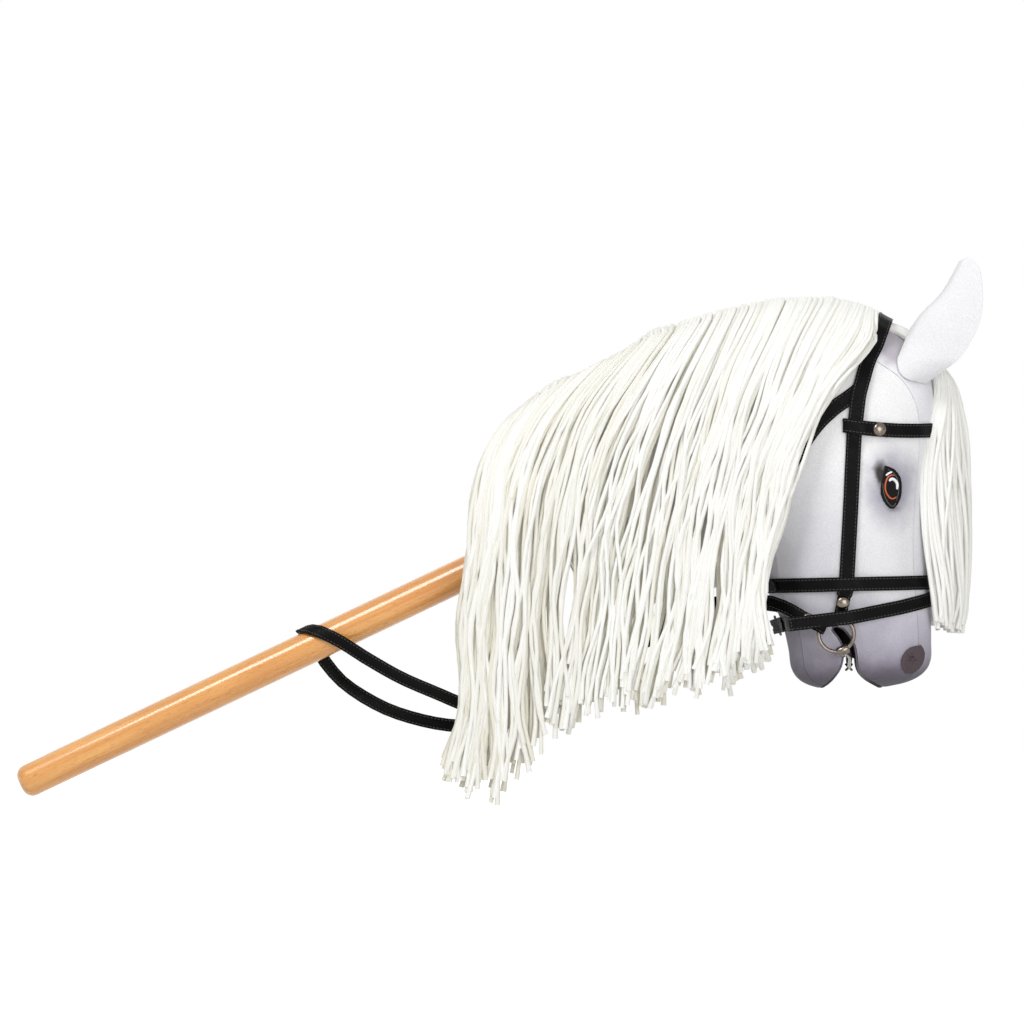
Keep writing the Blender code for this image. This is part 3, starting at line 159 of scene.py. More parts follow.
# Reins. One black strap of coated leather, eleven millimetres wide, sewn along both edges. It is folded round
# the near ring and riveted, runs back inside the mane, loops over the stick and returns to the far ring.
REIN_RING = (491.5, -55.3, 44.5)
REIN_NEAR = (
    (478.0, -53.5, 51.6), (464.0, -46.5, 59.5), (452.0, -38.5, 64.5), (440.0, -32.0, 67.0),
    (424.0, -30.0, 67.5), (400.0, -29.5, 64.5), (366.0, -29.5, 55.0), (326.0, -29.5, 37.0),
    (295.0, -29.0, 13.0), (268.6, -28.5, -8.9), (244.0, -28.0, -22.3), (218.6, -27.0, -27.0),
    (193.1, -24.5, -23.3), (165.0, -22.0, -12.0), (133.8, -20.0, 1.5), (105.0, -18.5, 18.0),
    (82.0, -17.4, 32.5), (62.0, -12.8, 41.2), (50.0, 0.0, 42.0),
)
REIN_FAR = (
    (53.8, 12.2, 38.8), (60.5, 17.2, 29.3), (71.0, 19.0, 12.5), (88.0, 20.5, -5.5), (118.0, 22.0, -24.0),
    (148.0, 24.0, -34.5), (178.0, 26.0, -40.0), (210.0, 28.0, -40.0), (240.0, 30.0, -33.0),
    (268.6, 33.0, -19.0), (295.0, 37.0, 0.0), (326.0, 41.0, 22.0), (366.0, 46.0, 43.0), (405.0, 50.0, 58.0),
    (434.0, 52.5, 63.0), (449.0, 52.0, 63.0), (462.0, 50.5, 60.0), (478.0, 53.5, 51.6),
)
STRAP_EDGE_ROLL = 0.00028
STITCH_PITCH = 0.0031
STITCH_LENGTH = 0.0023
STITCH_WIDTH = 0.00075
STITCH_HEIGHT = 0.0006
STITCH_INSET = 0.0017
STITCH_LIFT = 0.00009
BROAD_FACE = 0.003
SHARP_EDGE = math.radians(50)
JOIN_DISTANCE = 0.000002
JOIN_ANGLES = (math.radians(25), math.radians(60))
SAME_POINT = 0.0000005
SAME_NORMAL = 0.02
MOST_LIFT = 0.12


def smooth_line(points, steps):
    """A curve through points, with steps pieces between each two."""
    line = []
    last = len(points) - 1
    for i in range(last):
        before, start, end, after = points[max(i - 1, 0)], points[i], points[i + 1], points[min(i + 2, last)]
        for k in range(steps):
            t = k / steps
            line.append(
                before * (t * (t - 0.5 - 0.5 * t * t))
                + start * (1 + t * t * (1.5 * t - 2.5))
                + end * (t * (0.5 + t * (2 - 1.5 * t)))
                + after * (t * t * (0.5 * t - 0.5))
            )
    return line + [points[-1]]


def bulged(mesh):
    """Halves every face of a mesh once and lifts the new points onto the curve that the old corners' normals give."""
    shape = bmesh.new()
    shape.from_mesh(mesh)
    corner = [Vector(item.vector) for item in mesh.corner_normals]
    loops = {}
    for face in shape.faces:
        for loop in face.loops:
            loops[(face.index, loop.vert.index)] = corner[loop.index]
    lift, middles = {}, []
    for edge in shape.edges:
        a, b = edge.verts
        along, total, used = b.co - a.co, Vector(), []
        for face in edge.link_faces:
            first, second = loops[(face.index, a.index)], loops[(face.index, b.index)]
            if any((first - old).length < SAME_NORMAL for old in used):
                continue
            used.append(first)
            total -= (first * along.dot(first) - second * along.dot(second)) / 8
        lift[edge.index] = total if total.length < MOST_LIFT * along.length else Vector()
        middles.append(((a.co + b.co) / 2, lift[edge.index]))
    for face in shape.faces:
        if len(face.edges) == 4:
            total = sum((lift[edge.index] for edge in face.edges), Vector()) / 2
            middles.append((face.calc_center_median(), total))
    bmesh.ops.subdivide_edges(shape, edges=shape.edges, cuts=1, use_grid_fill=True)
    places = KDTree(len(middles))
    for k, (at, _) in enumerate(middles):
        places.insert(at, k)
    places.balance()
    for vert in shape.verts:
        _, k, away = places.find(vert.co)
        if away < SAME_POINT:
            vert.co += middles[k][1]
    shape.to_mesh(mesh)
    shape.free()


def pick(piece):
    """Makes a piece the active one and the only one selected."""
    bpy.ops.object.select_all(action="DESELECT")
    piece.select_set(True)
    bpy.context.view_layer.objects.active = piece


def joined_copy(node, name, roll=0.0, flatter=30, rounds=0):
    """A new piece with a node's shape: its loose triangles joined, its curves rounded, its edges rolled over.

    Only edges that turn by more than flatter degrees stay sharp.
    """
    mesh = nodes[node].data.copy()
    made = bpy.data.objects.new(name, mesh)
    bpy.context.collection.objects.link(made)
    pick(made)
    bpy.ops.object.mode_set(mode="EDIT")
    bpy.ops.mesh.select_all(action="SELECT")
    bpy.ops.mesh.remove_doubles(threshold=JOIN_DISTANCE)
    bpy.ops.mesh.tris_convert_to_quads(face_threshold=JOIN_ANGLES[0], shape_threshold=JOIN_ANGLES[1])
    bpy.ops.object.mode_set(mode="OBJECT")
    if mesh.has_custom_normals:
        bpy.ops.mesh.customdata_custom_splitnormals_clear()
    for _ in range(rounds):
        bpy.ops.object.shade_smooth_by_angle(angle=SHARP_EDGE)
        bulged(mesh)
    if roll:
        edge = made.modifiers.new("rolled edge", "BEVEL")
        edge.width = roll
        edge.segments = 2
        edge.angle_limit = SHARP_EDGE
        edge.use_clamp_overlap = True
        bpy.ops.object.modifier_apply(modifier=edge.name)
    bpy.ops.object.shade_smooth_by_angle(angle=math.radians(flatter))
    mesh.materials.clear()
    return made


def edge_chains(piece, faces_out):
    """The long edges of a flat strap's broad faces, as closed chains of (point, direction into the face, normal)."""
    shape = bmesh.new()
    shape.from_mesh(piece.data)
    shape.normal_update()
    after = {}
    for edge in shape.edges:
        if len(edge.link_faces) != 2 or edge.calc_face_angle(0) < SHARP_EDGE:
            continue
        a, b = (vert.co for vert in edge.verts)
        along = (b - a).normalized()
        for loop in edge.link_loops:
            reach = max(((v.co - a) - along * (v.co - a).dot(along)).length for v in loop.face.verts)
            middle = (a + b) / 2
            if reach < BROAD_FACE or not faces_out(middle, loop.face.normal):
                continue
            start, end = loop.vert, loop.link_loop_next.vert
            inward = loop.face.normal.cross((end.co - start.co).normalized())
            after.setdefault(start.index, []).append((end.index, inward, loop.face.normal.copy()))
    places = {vert.index: vert.co.copy() for vert in shape.verts}
    chains = []
    while after:
        first = next(iter(after))
        chain, at = [], first
        while at in after:
            end, inward, normal = after[at].pop()
            if not after[at]:
                del after[at]
            chain.append((places[at], places[end], inward, normal))
            at = end
        chains.append(chain)
    shape.free()
    return chains


def stitched(piece, name, faces_out=lambda at, normal: True):
    """Thread stitches along the edges of a strap, one short raised loop after another, as one new piece."""
    bpy.ops.object.select_all(action="DESELECT")
    bpy.ops.mesh.primitive_uv_sphere_add(segments=6, ring_count=5, radius=0.5, location=(0, 0, 0))
    loop_piece = bpy.context.object
    bpy.ops.object.mode_set(mode="EDIT")
    bpy.ops.transform.rotate(value=math.pi / 2, orient_axis="Y", center_override=(0, 0, 0))
    bpy.ops.transform.resize(value=(STITCH_LENGTH, STITCH_WIDTH, STITCH_HEIGHT))
    bpy.ops.object.mode_set(mode="OBJECT")
    pattern = bmesh.new()
    pattern.from_mesh(loop_piece.data)
    corners = [vert.co.copy() for vert in pattern.verts]
    sides = [[vert.index for vert in face.verts] for face in pattern.faces]
    pattern.free()
    bpy.data.objects.remove(loop_piece)
    points, faces = [], []
    for chain in edge_chains(piece, faces_out):
        walked, goal = 0.0, STITCH_PITCH / 2
        for start, end, inward, normal in chain:
            length = (end - start).length
            along = (end - start).normalized()
            while goal <= walked + length:
                at = start + along * (goal - walked) + inward * STITCH_INSET + normal * STITCH_LIFT
                turn = Matrix((along, inward, normal)).transposed()
                faces += [[index + len(points) for index in side] for side in sides]
                points += [at + turn @ corner for corner in corners]
                goal += STITCH_PITCH
            walked += length
    mesh = bpy.data.meshes.new(name)
    mesh.from_pydata(points, [], faces)
    mesh.materials.append(thread)
    made = bpy.data.objects.new(name, mesh)
    bpy.context.collection.objects.link(made)
    for face in mesh.polygons:
        face.use_smooth = True
    return made


def noise_in(tree, scale, detail, at=None, roughness=0.5):
    """The sockets of a noise texture, in the object's own space where no other is given."""
    if at is None:
        at = add_node(tree, "ShaderNodeTexCoord").outputs["Object"]
    values = {"Vector": at, "Scale": scale, "Detail": detail, "Roughness": roughness}
    return add_node(tree, "ShaderNodeTexNoise", values).outputs


def mixed(tree, share, first, second):
    """A colour between two: the first where share is 0, the second where it is 1."""
    return add_node(tree, "ShaderNodeMix", {"Factor": share, 6: first, 7: second}, data_type="RGBA").outputs[2]


def bumped(tree, shader, height, strength, distance):
    """Raises the surface of a finish by a height between 0 and 1 or so."""
    bump = add_node(tree, "ShaderNodeBump", {"Height": height, "Strength": strength, "Distance": distance})
    tree.links.new(bump.outputs[0], shader.inputs["Normal"])


def new_effect(name, sockets):
    """A node group for an effect that several finishes share, with its inputs and outputs."""
    made = bpy.data.node_groups.new(name, "ShaderNodeTree")
    for label, way, kind in sockets:
        made.interface.new_socket(label, in_out=way, socket_type=f"NodeSocket{kind}")
    return made, made.nodes.new("NodeGroupInput").outputs, made.nodes.new("NodeGroupOutput").inputs


uneven, group_in, group_out = new_effect("uneven_tone", (
    ("Dark", "INPUT", "Color"), ("Light", "INPUT", "Color"), ("Scale", "INPUT", "Float"),
    ("Detail", "INPUT", "Float"), ("Color", "OUTPUT", "Color"), ("Patches", "OUTPUT", "Float"),
))
patches = noise_in(uneven, group_in["Scale"], group_in["Detail"])["Fac"]
uneven.links.new(mixed(uneven, patches, group_in["Dark"], group_in["Light"]), group_out["Color"])
uneven.links.new(patches, group_out["Patches"])


def noisy_finish(name, dark, light, scale, detail, **values):
    """A finish whose colour wanders between two tones, with its shader, tree and patches."""
    made, shader, tree = new_finish(name, **values)
    tones = {"Dark": dark, "Light": light, "Scale": scale, "Detail": detail}
    tones = add_node(tree, "ShaderNodeGroup", tones, node_tree=uneven).outputs
    tree.links.new(tones["Color"], shader.inputs["Base Color"])
    return made, shader, tree, tones["Patches"]


leather, shader, tree, _ = noisy_finish(
    "black_bridle_leather", tone(4, 4, 4), tone(10, 9, 9), 55.0, 2.0, Specular_IOR_Level=0.07,
)
place = add_node(tree, "ShaderNodeTexCoord").outputs["Object"]
pebbles = add_node(tree, "ShaderNodeTexVoronoi", {"Vector": place, "Scale": 1150.0}, feature="SMOOTH_F1")
creases = noise_in(tree, 420.0, 4.0)["Fac"]
tree.links.new(ranged(tree, creases, 0.3, 0.7, 0.36, 0.6), shader.inputs["Roughness"])
bumped(tree, shader, worked(tree, "ADD", pebbles.outputs["Distance"], creases), 0.35, 0.0003)
thread = noisy_finish(
    "black_thread", tone(36, 35, 34), tone(82, 79, 76), 2600.0, 2.0, Roughness=0.55, Specular_IOR_Level=0.35,
)[0]

rein_points = [Vector(point) / 1000 for point in (REIN_RING, *REIN_NEAR, *REIN_FAR)]
rein_points.append(rein_points[0] * Vector((1, -1, 1)))
rein_strap = joined_copy("reins", "rein_strap")
rein_stitches = stitched(rein_strap, "rein_stitches")
bpy.data.objects.remove(rein_strap)
rein_strap = joined_copy("reins", "rein_strap", STRAP_EDGE_ROLL)
rein_strap.data.materials.append(leather)
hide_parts("reins")
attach(rein_strap, "horse")
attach(rein_stitches, "horse")

# Stick. A turned beech dowel, 28 mm thick, with a domed butt. The wood is honey brown with fine straight grain
# and short darker rays, and it is varnished.
STICK_SLOPE = math.radians(25.43)

beech, shader, tree = new_finish("varnished_beech", Roughness=0.34, Coat_Weight=0.8, Coat_Roughness=0.12)
place = add_node(tree, "ShaderNodeTexCoord").outputs["Object"]
turned = add_node(tree, "ShaderNodeMapping", {"Vector": place, "Rotation": (0, STICK_SLOPE, 0)}).outputs[0]


def along_grain(stretch, detail, roughness=0.5):
    """Noise that is drawn out along the stick."""
    drawn = add_node(tree, "ShaderNodeMapping", {"Vector": turned, "Scale": stretch}).outputs[0]
    return noise_in(tree, 1.0, detail, drawn, roughness)["Fac"]


grain = along_grain((9, 260, 260), 4.0, 0.6)
wood = mixed(tree, ranged(tree, grain, 0.3, 0.7), tone(212, 142, 66), tone(238, 176, 94))
bands = ranged(tree, along_grain((7, 45, 45), 2.0), 0.42, 0.7, 0.0, 0.5)
wood = mixed(tree, bands, wood, tone(200, 122, 46))
flecks = ranged(tree, along_grain((150, 1500, 1500), 1.0), 0.6, 0.72, 0.0, 0.65)
wood = mixed(tree, flecks, wood, tone(174, 102, 44))
tree.links.new(wood, shader.inputs["Base Color"])
bumped(tree, shader, grain, 0.12, 0.0003)

stick = joined_copy("stick", "beech_stick")
stick.data.materials.append(beech)
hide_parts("stick")
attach(stick, "horse")

# Head and neck. Polyester stuffing inside a cover of white velour: two side panels, a strip over the crest and
# face, a strip under the jaw and a base panel with the hole for the stick. The muzzle, the eyes and the throat
# are airbrushed in lilac grey, and the mouth slit is lined with dark cloth. Painted shade is mixed into the same
# colouring: the cheeks darken downwards and behind the jaw, partly airbrush and partly painted shade, and the
# poll between the ears carries painted shade.
EYE_CENTRE = (0.5505, 0.1640)
SEAM_ROLL = 0.0006
PINCH_LOW, PINCH_TOP = 0.021, 0.044
PINCH_X_LOW, PINCH_X_TOP = 0.5125, 0.5025
PINCH_HALF, PINCH_FADE = 0.008, 0.016
PINCH_UNDER, PINCH_RISE = 0.0165, 0.004
PINCH_TIGHT = 0.985
PINCH_CUTS_Y = (-0.024, -0.020, -0.016, -0.012, -0.008, 0.0, 0.008, 0.012, 0.016, 0.020, 0.024)
PINCH_CUTS_Z = (0.0165, 0.0175, 0.019, 0.0205, 0.024, 0.030, 0.037)
NOSE_SIDE = 0.515
LIP_RIM_TOP, LIP_RIM_LOW = 0.011, 0.004
LIP_RIM_SWELL = 0.0007

airbrush_and_shade, group_in, group_out = new_effect("airbrushed_and_shaded_velour", (
    ("White", "INPUT", "Color"), ("Spray_and_shade", "INPUT", "Float"),
    ("Color", "OUTPUT", "Color"), ("Pile", "OUTPUT", "Float"),
))


def moved(tree, operation, vector, by):
    """The result of a sum of one kind on a vector or colour and another, or a number where it is scaled."""
    other = "Scale" if operation == "SCALE" else 1
    return add_node(tree, "ShaderNodeVectorMath", {0: vector, other: by}, operation=operation).outputs[0]


place = add_node(airbrush_and_shade, "ShaderNodeTexCoord").outputs["Object"]
spread = moved(airbrush_and_shade, "SUBTRACT", noise_in(airbrush_and_shade, 60.0, 3.0)["Color"], (0.5, 0.5, 0.5))
at = moved(airbrush_and_shade, "ADD", place, moved(airbrush_and_shade, "SCALE", spread, 0.014))
axes = add_node(airbrush_and_shade, "ShaderNodeSeparateXYZ", {0: at}).outputs


def fade(socket, low, high, most=1.0):
    """A mask that rises from 0 at low to most at high."""
    step = {"Value": socket, "From Min": low, "From Max": high, "To Min": 0.0, "To Max": most}
    if low > high:
        step.update({"From Min": high, "From Max": low, "To Min": most, "To Max": 0.0})
    return add_node(airbrush_and_shade, "ShaderNodeMapRange", step, interpolation_type="SMOOTHSTEP").outputs[0]


def spot(x, z, half_x, half_z, turn, core, edge, most):
    """An oval mask round (x, z), full inside core and gone at edge, both in half sizes of the oval."""
    oval = {"Vector": at, "Location": (x, 0, z), "Rotation": (0, turn, 0)}
    oval = add_node(airbrush_and_shade, "ShaderNodeMapping", oval, vector_type="TEXTURE").outputs[0]
    oval = moved(airbrush_and_shade, "MULTIPLY", oval, (1 / half_x, 0, 1 / half_z))
    reach = add_node(airbrush_and_shade, "ShaderNodeVectorMath", {0: oval}, operation="LENGTH").outputs["Value"]
    return fade(reach, edge, core, most)


def on_head(low, high, most=1.0):
    """A mask that rises from a height low to a height high, in front of the throat only."""
    return worked(airbrush_and_shade, "MULTIPLY", fade(axes["Z"], low, high, most), in_front)


in_front = fade(axes["X"], 0.412, 0.436)
on_jaw = worked(airbrush_and_shade, "MULTIPLY", fade(axes["X"], 0.498, 0.466), fade(axes["Z"], 0.070, 0.03, 0.75))
skin = group_in["White"]
for mask, colour in (
    # Partly airbrush, partly painted shade: the cheeks darken downwards as they would under light from above.
    (on_head(0.20, 0.085, 0.5), (226, 226, 232)),
    # Partly airbrush, partly painted shade: the lower cheek darkens towards the jaw.
    (spot(0.476, 0.088, 0.046, 0.105, 0.0, 0.1, 1.4, 0.85), (206, 205, 212)),
    # Painted shade on the poll between the ears, behind the crown strap.
    (spot(0.554, 0.286, 0.017, 0.020, 0.0, 0.6, 1.25, 1.0), (196, 190, 198)),
    (spot(*EYE_CENTRE, 0.022, 0.032, 0.0, 0.3, 1.5, 0.85), (156, 152, 168)),
    # Partly airbrush, partly painted shade behind the jaw, under the mane and the noseband.
    (spot(0.460, 0.086, 0.016, 0.022, 0.4, 0.1, 1.8, 0.15), (150, 147, 158)),
    (on_head(0.080, 0.040), (198, 194, 207)),
    (on_head(0.046, -0.002), (142, 136, 150)),
    (on_jaw, (144, 139, 153)),
    (on_head(0.022, -0.004, 0.85), (92, 86, 95)),
    (spot(0.5395, 0.1745, 0.0048, 0.0105, -0.15, 0.3, 1.45, 0.95), (52, 46, 42)),
    (spot(0.5520, 0.1450, 0.0050, 0.0024, 0.5, 0.1, 1.8, 0.5), (96, 84, 82)),
):
    skin = mixed(airbrush_and_shade, mask, skin, tone(*colour))
skin = mixed(airbrush_and_shade, group_in["Spray_and_shade"], group_in["White"], skin)
pile = noise_in(airbrush_and_shade, 820.0, 3.0, roughness=0.7)["Fac"]
speckle = ranged(airbrush_and_shade, pile, 0.3, 0.7, 0.84, 1.0)
nap = noise_in(airbrush_and_shade, 340.0, 2.0)["Fac"]
airbrush_and_shade.links.new(moved(airbrush_and_shade, "SCALE", skin, speckle), group_out["Color"])
airbrush_and_shade.links.new(worked(airbrush_and_shade, "ADD", pile, nap), group_out["Pile"])


def velour(name, white, spray_and_shade=1.0):
    """White velour, airbrushed and given painted shade where the head is."""
    made, shader, tree = new_finish(
        name, Roughness=0.95, Sheen_Weight=0.15, Sheen_Roughness=0.5, Specular_IOR_Level=0.15,
    )
    cloth = add_node(tree, "ShaderNodeGroup", node_tree=airbrush_and_shade)
    cloth.inputs["White"].default_value = white
    cloth.inputs["Spray_and_shade"].default_value = spray_and_shade
    tree.links.new(cloth.outputs["Color"], shader.inputs["Base Color"])
    bumped(tree, shader, cloth.outputs["Pile"], 0.5, 0.0004)
    return made


white_velour = velour("white_velour", tone(247, 247, 248))
gusset_velour = velour("gusset_velour", tone(248, 248, 252))
ear_velour = velour("ear_velour", tone(240, 240, 242), spray_and_shade=0.0)
dark_lining, shader, tree = new_finish("dark_lining", Roughness=0.95)
colour = mixed(tree, noise_in(tree, 1400.0, 2.0)["Fac"], tone(16, 15, 16), tone(46, 42, 45))
place = add_node(tree, "ShaderNodeTexCoord").outputs["Object"]
across = add_node(tree, "ShaderNodeSeparateXYZ", {0: place}).outputs["Y"]
hem_of_lip = ranged(tree, worked(tree, "ABSOLUTE", across), 0.030, 0.040)
tree.links.new(mixed(tree, hem_of_lip, colour, tone(106, 99, 108)), shader.inputs["Base Color"])
stuffing = noisy_finish("polyester_stuffing", tone(222, 222, 218), tone(248, 248, 246), 500.0, 4.0, Roughness=1.0)[0]


def pinched(lining):
    """The lining's two walls are caught together in the middle above the bit, which closes the mouth to the eye."""
    shape = bmesh.new()
    shape.from_mesh(lining.data)
    cuts = [((0, y, 0), (0, 1, 0)) for y in PINCH_CUTS_Y] + [((0, 0, z), (0, 0, 1)) for z in PINCH_CUTS_Z]
    for place, facing in cuts:
        parts = [*shape.verts, *shape.edges, *shape.faces]
        bmesh.ops.bisect_plane(shape, geom=parts, plane_co=place, plane_no=facing)
    for vert in shape.verts:
        level = min(max((vert.co.z - PINCH_LOW) / (PINCH_TOP - PINCH_LOW), 0), 1)
        middle = PINCH_X_LOW + (PINCH_X_TOP - PINCH_X_LOW) * level
        near = 1 - min(max((abs(vert.co.y) - PINCH_HALF) / PINCH_FADE, 0), 1)
        near *= min(max((vert.co.z - PINCH_UNDER) / PINCH_RISE, 0), 1)
        vert.co.x += (middle - vert.co.x) * PINCH_TIGHT * near * near * (3 - 2 * near)
    shape.to_mesh(lining.data)
    shape.free()


for node, finish in (
    ("side_panel_near", white_velour), ("side_panel_far", white_velour), ("face_gusset", gusset_velour),
    ("jaw_gusset", gusset_velour), ("neck_base_panel", white_velour),
):
    panel = joined_copy(node, f"sewn_{node}", SEAM_ROLL, flatter=60, rounds=2)
    panel.data.materials.append(finish)
    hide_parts(node)
    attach(panel, "horse")
lining = joined_copy("mouth_lining", "sewn_mouth_lining", flatter=60)
pinched(lining)
for vert in lining.data.vertices:
    if vert.co.x > NOSE_SIDE:
        low = (LIP_RIM_TOP - vert.co.z) / (LIP_RIM_TOP - LIP_RIM_LOW)
        vert.co += vert.normal * LIP_RIM_SWELL * min(max(low, 0), 1)
lining.data.materials.append(dark_lining)
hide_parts("mouth_lining")
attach(lining, "horse")
for node in ("neck_filling", "head_filling", "jaw_filling", "lip_filling"):
    nodes[node].data.materials.clear()
    nodes[node].data.materials.append(stuffing)

# Ears. Each is two layers of white velour, folded lengthwise into a cup and sewn along the free edge. They stand
# up by themselves on both sides of the crown strap.
EAR_ROLL = 0.0005

for side in ("near", "far"):
    for node in (f"ear_{side}", f"ear_lining_{side}"):
        ear = joined_copy(node, f"sewn_{node}", EAR_ROLL, flatter=60, rounds=2)
        ear.data.materials.append(ear_velour)
        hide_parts(node)
        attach(ear, "horse")

# Eyes. Each is a black almond of dense embroidery with a raised rim, an orange iris line and two white glints
# that are worked over it in thicker thread.
EYE_ROLL = 0.0004
EYE_SIDE = 0.056
WELL_OUTSIDE = 0.2
STROKE_LIFT = 0.0001
STROKE_TAPER = 0.45

embroidery, shader, tree = new_finish(
    "black_embroidery", Roughness=0.4, Base_Color=tone(6, 5, 5), Specular_IOR_Level=0.12,
)
place = add_node(tree, "ShaderNodeTexCoord").outputs["Object"]
rows = {"Vector": place, "Scale": 520.0, "Distortion": 3.0}
rows = add_node(tree, "ShaderNodeTexWave", rows, bands_direction="Z").outputs["Fac"]
bumped(tree, shader, rows, 0.35, 0.0002)


def thread_finish(name, dark, light):
    """Embroidery thread of one colour, a little uneven."""
    made, shader, tree, strands = noisy_finish(name, tone(*dark), tone(*light), 1500.0, 2.0, Roughness=0.5)
    bumped(tree, shader, strands, 0.4, 0.0002)
    return made


def form_of(*pieces):
    """The shape of one or more pieces as a tree that finds where a ray meets it and which point is nearest."""
    shape = bmesh.new()
    for piece in pieces:
        shape.from_mesh(piece.data)
    form = BVHTree.FromBMesh(shape)
    shape.free()
    return form


def strands_of(name, lines, thickness):
    """A new piece of round strands with closed ends, each a line of (point, part of the thickness)."""
    curve = bpy.data.curves.new(name, "CURVE")
    curve.dimensions = "3D"
    curve.bevel_depth = thickness
    curve.bevel_resolution = 2
    curve.use_fill_caps = True
    for line in lines:
        spline = curve.splines.new("POLY")
        spline.points.add(len(line) - 1)
        for point, (at, radius) in zip(spline.points, line):
            point.co = (*at, 1)
            point.radius = radius
    made = bpy.data.objects.new(name, curve)
    bpy.context.collection.objects.link(made)
    pick(made)
    bpy.ops.object.convert(target="MESH")
    return made


rim_thread = thread_finish("grey_rim_thread", (40, 37, 34), (96, 90, 84))
iris_thread = thread_finish("orange_iris_thread", (168, 66, 34), (226, 112, 66))
glint_thread = thread_finish("white_glint_thread", (225, 228, 240), (255, 255, 255))
EYE_STROKES = (
    ("rim_upper", rim_thread, 0.42, (
        (547.2, 178.0), (551.6, 175.4), (554.8, 171.0), (556.3, 165.2), (556.2, 158.5), (554.6, 151.5),
    )),
    ("rim_lower", rim_thread, 0.42, (
        (542.9, 166.2), (543.4, 159.8), (545.4, 153.4), (548.4, 148.6), (551.6, 146.8), (554.0, 149.6),
    )),
    ("iris", iris_thread, 0.72, (
        (553.0, 172.9), (550.4, 173.3), (547.4, 171.6), (545.5, 167.4), (544.9, 162.6),
        (546.0, 158.0), (548.6, 154.4), (551.4, 153.2), (554.6, 154.8),
    )),
    ("glint_upper", glint_thread, 0.85, ((545.5, 172.8), (548.0, 174.8), (550.8, 176.0))),
    ("glint_lower", glint_thread, 1.35, (
        (548.3, 168.2), (550.4, 170.0), (553.2, 168.9), (555.2, 165.6), (555.0, 161.2),
    )),
)
for side, sign in (("near", -1), ("far", 1)):
    eye = joined_copy(f"eye_{side}", f"sewn_eye_{side}", EYE_ROLL, flatter=60)
    eye.data.materials.append(embroidery)
    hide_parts(f"eye_{side}")
    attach(eye, "horse")
    surface = form_of(eye)
    for label, finish, half, route in EYE_STROKES:
        line = smooth_line([Vector((x, 0, z)) / 1000 for x, z in route], 5)
        laid = []
        for k, at in enumerate(line):
            hit = surface.ray_cast(Vector((at.x, sign * WELL_OUTSIDE, at.z)), Vector((0, -sign, 0)))[0]
            hit = hit or surface.find_nearest(Vector((at.x, sign * EYE_SIDE, at.z)))[0]
            taper = 1 - STROKE_TAPER * abs(2 * k / (len(line) - 1) - 1) ** 4
            laid.append(((at.x, hit.y + sign * STROKE_LIFT, at.z), taper))
        stroke = strands_of(f"eye_{label}_{side}", [laid], half / 1000)
        bpy.ops.object.shade_smooth()
        stroke.data.materials.append(finish)
        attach(stroke, "horse")

# Nostrils. Each is a patch of brown-grey cloth on the side of the nose. Five tucks draw it in to its middle, and
# the cloth swells a little between them.
NOSTRIL_CENTRE = (0.5690, 0.0175)
NOSTRIL_TUCKS = (95, 150, 205, 262, 330)
TUCK_HALF, TUCK_DEPTH = 0.0007, 0.0016
TUCK_REACH, TUCK_MORE = 0.0075, 0.0012
KNOT_HALF = 0.0016
SWELL_REACH, SWELL_HALF, SWELL_HEIGHT = 0.006, 0.004, 0.0004

nostril_cloth, shader, tree, fibre = noisy_finish(
    "nostril_cloth", tone(56, 47, 52), tone(96, 82, 88), 1300.0, 3.0, Roughness=0.9,
)
bumped(tree, shader, fibre, 0.5, 0.0003)


def hump(distance, half):
    """The height of a rounded hump of height 1, which is all but gone at twice its half width."""
    return math.exp(-((distance / half) ** 2))


for side in ("near", "far"):
    patch = joined_copy(f"nostril_{side}", f"tucked_nostril_{side}", flatter=60)
    bpy.ops.object.mode_set(mode="EDIT")
    bpy.ops.mesh.select_all(action="SELECT")
    bpy.ops.mesh.quads_convert_to_tris()
    bpy.ops.mesh.subdivide(number_cuts=3)
    bpy.ops.object.mode_set(mode="OBJECT")
    for vert in patch.data.vertices:
        dx, dz = vert.co.x - NOSTRIL_CENTRE[0], vert.co.z - NOSTRIL_CENTRE[1]
        reach, turn = math.hypot(dx, dz), math.atan2(dz, dx)
        depth = hump(reach, KNOT_HALF)
        for k, degrees in enumerate(NOSTRIL_TUCKS):
            off = abs((turn - math.radians(degrees) + math.pi) % math.tau - math.pi)
            if off < math.pi / 2:
                left = max(0.0, 1 - reach / (TUCK_REACH + TUCK_MORE * (k % 2)))
                depth = max(depth, hump(reach * math.sin(off), TUCK_HALF) * left)
        vert.co += vert.normal * (SWELL_HEIGHT * hump(reach - SWELL_REACH, SWELL_HALF) - TUCK_DEPTH * depth)
    bpy.ops.object.shade_smooth_by_angle(angle=math.radians(70))
    patch.data.materials.append(nostril_cloth)
    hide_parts(f"nostril_{side}")
    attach(patch, "horse")

# Mane. Nearly five hundred lengths of creamy white wool yarn, each about 4 mm thick, are sewn side by side to a
# tape along the crest. They fall together on the near side, sweep back towards the neck's base and end in a
# ragged hem.
YARN_RADIUS = 0.00185
MANE_CREST = (
    (538.5, 311.0), (522.1, 317.6), (502.2, 321.4), (479.2, 322.8), (453.9, 321.0), (426.1, 315.9), (396.9, 308.1),
    (366.1, 297.5), (335.2, 284.6), (303.9, 269.2), (274.0, 253.6), (248.3, 238.1), (227.3, 222.9),
)
CREST_BUMPS = (
    0.0, 0.0, -0.5, 0.0, 1.0, 0.5, -1.0, -0.5, 0.0, 0.0, 0.0, 0.5, 1.0,
    1.5, 3.5, 6.5, 1.0, -4.5, -2.5, -4.5, 2.0, 2.5, 1.0, 0.0, -2.0,
)
MANE_HEM = (
    (440.5, 20.8), (430.5, 12.0), (416.2, 0.4), (399.1, -9.3), (379.7, -14.0), (354.5, -19.0), (328.6, -24.7),
    (304.2, -31.8), (282.2, -41.1), (260.2, -56.0), (236.3, -74.9), (207.7, -84.1), (176.9, -74.7),
)
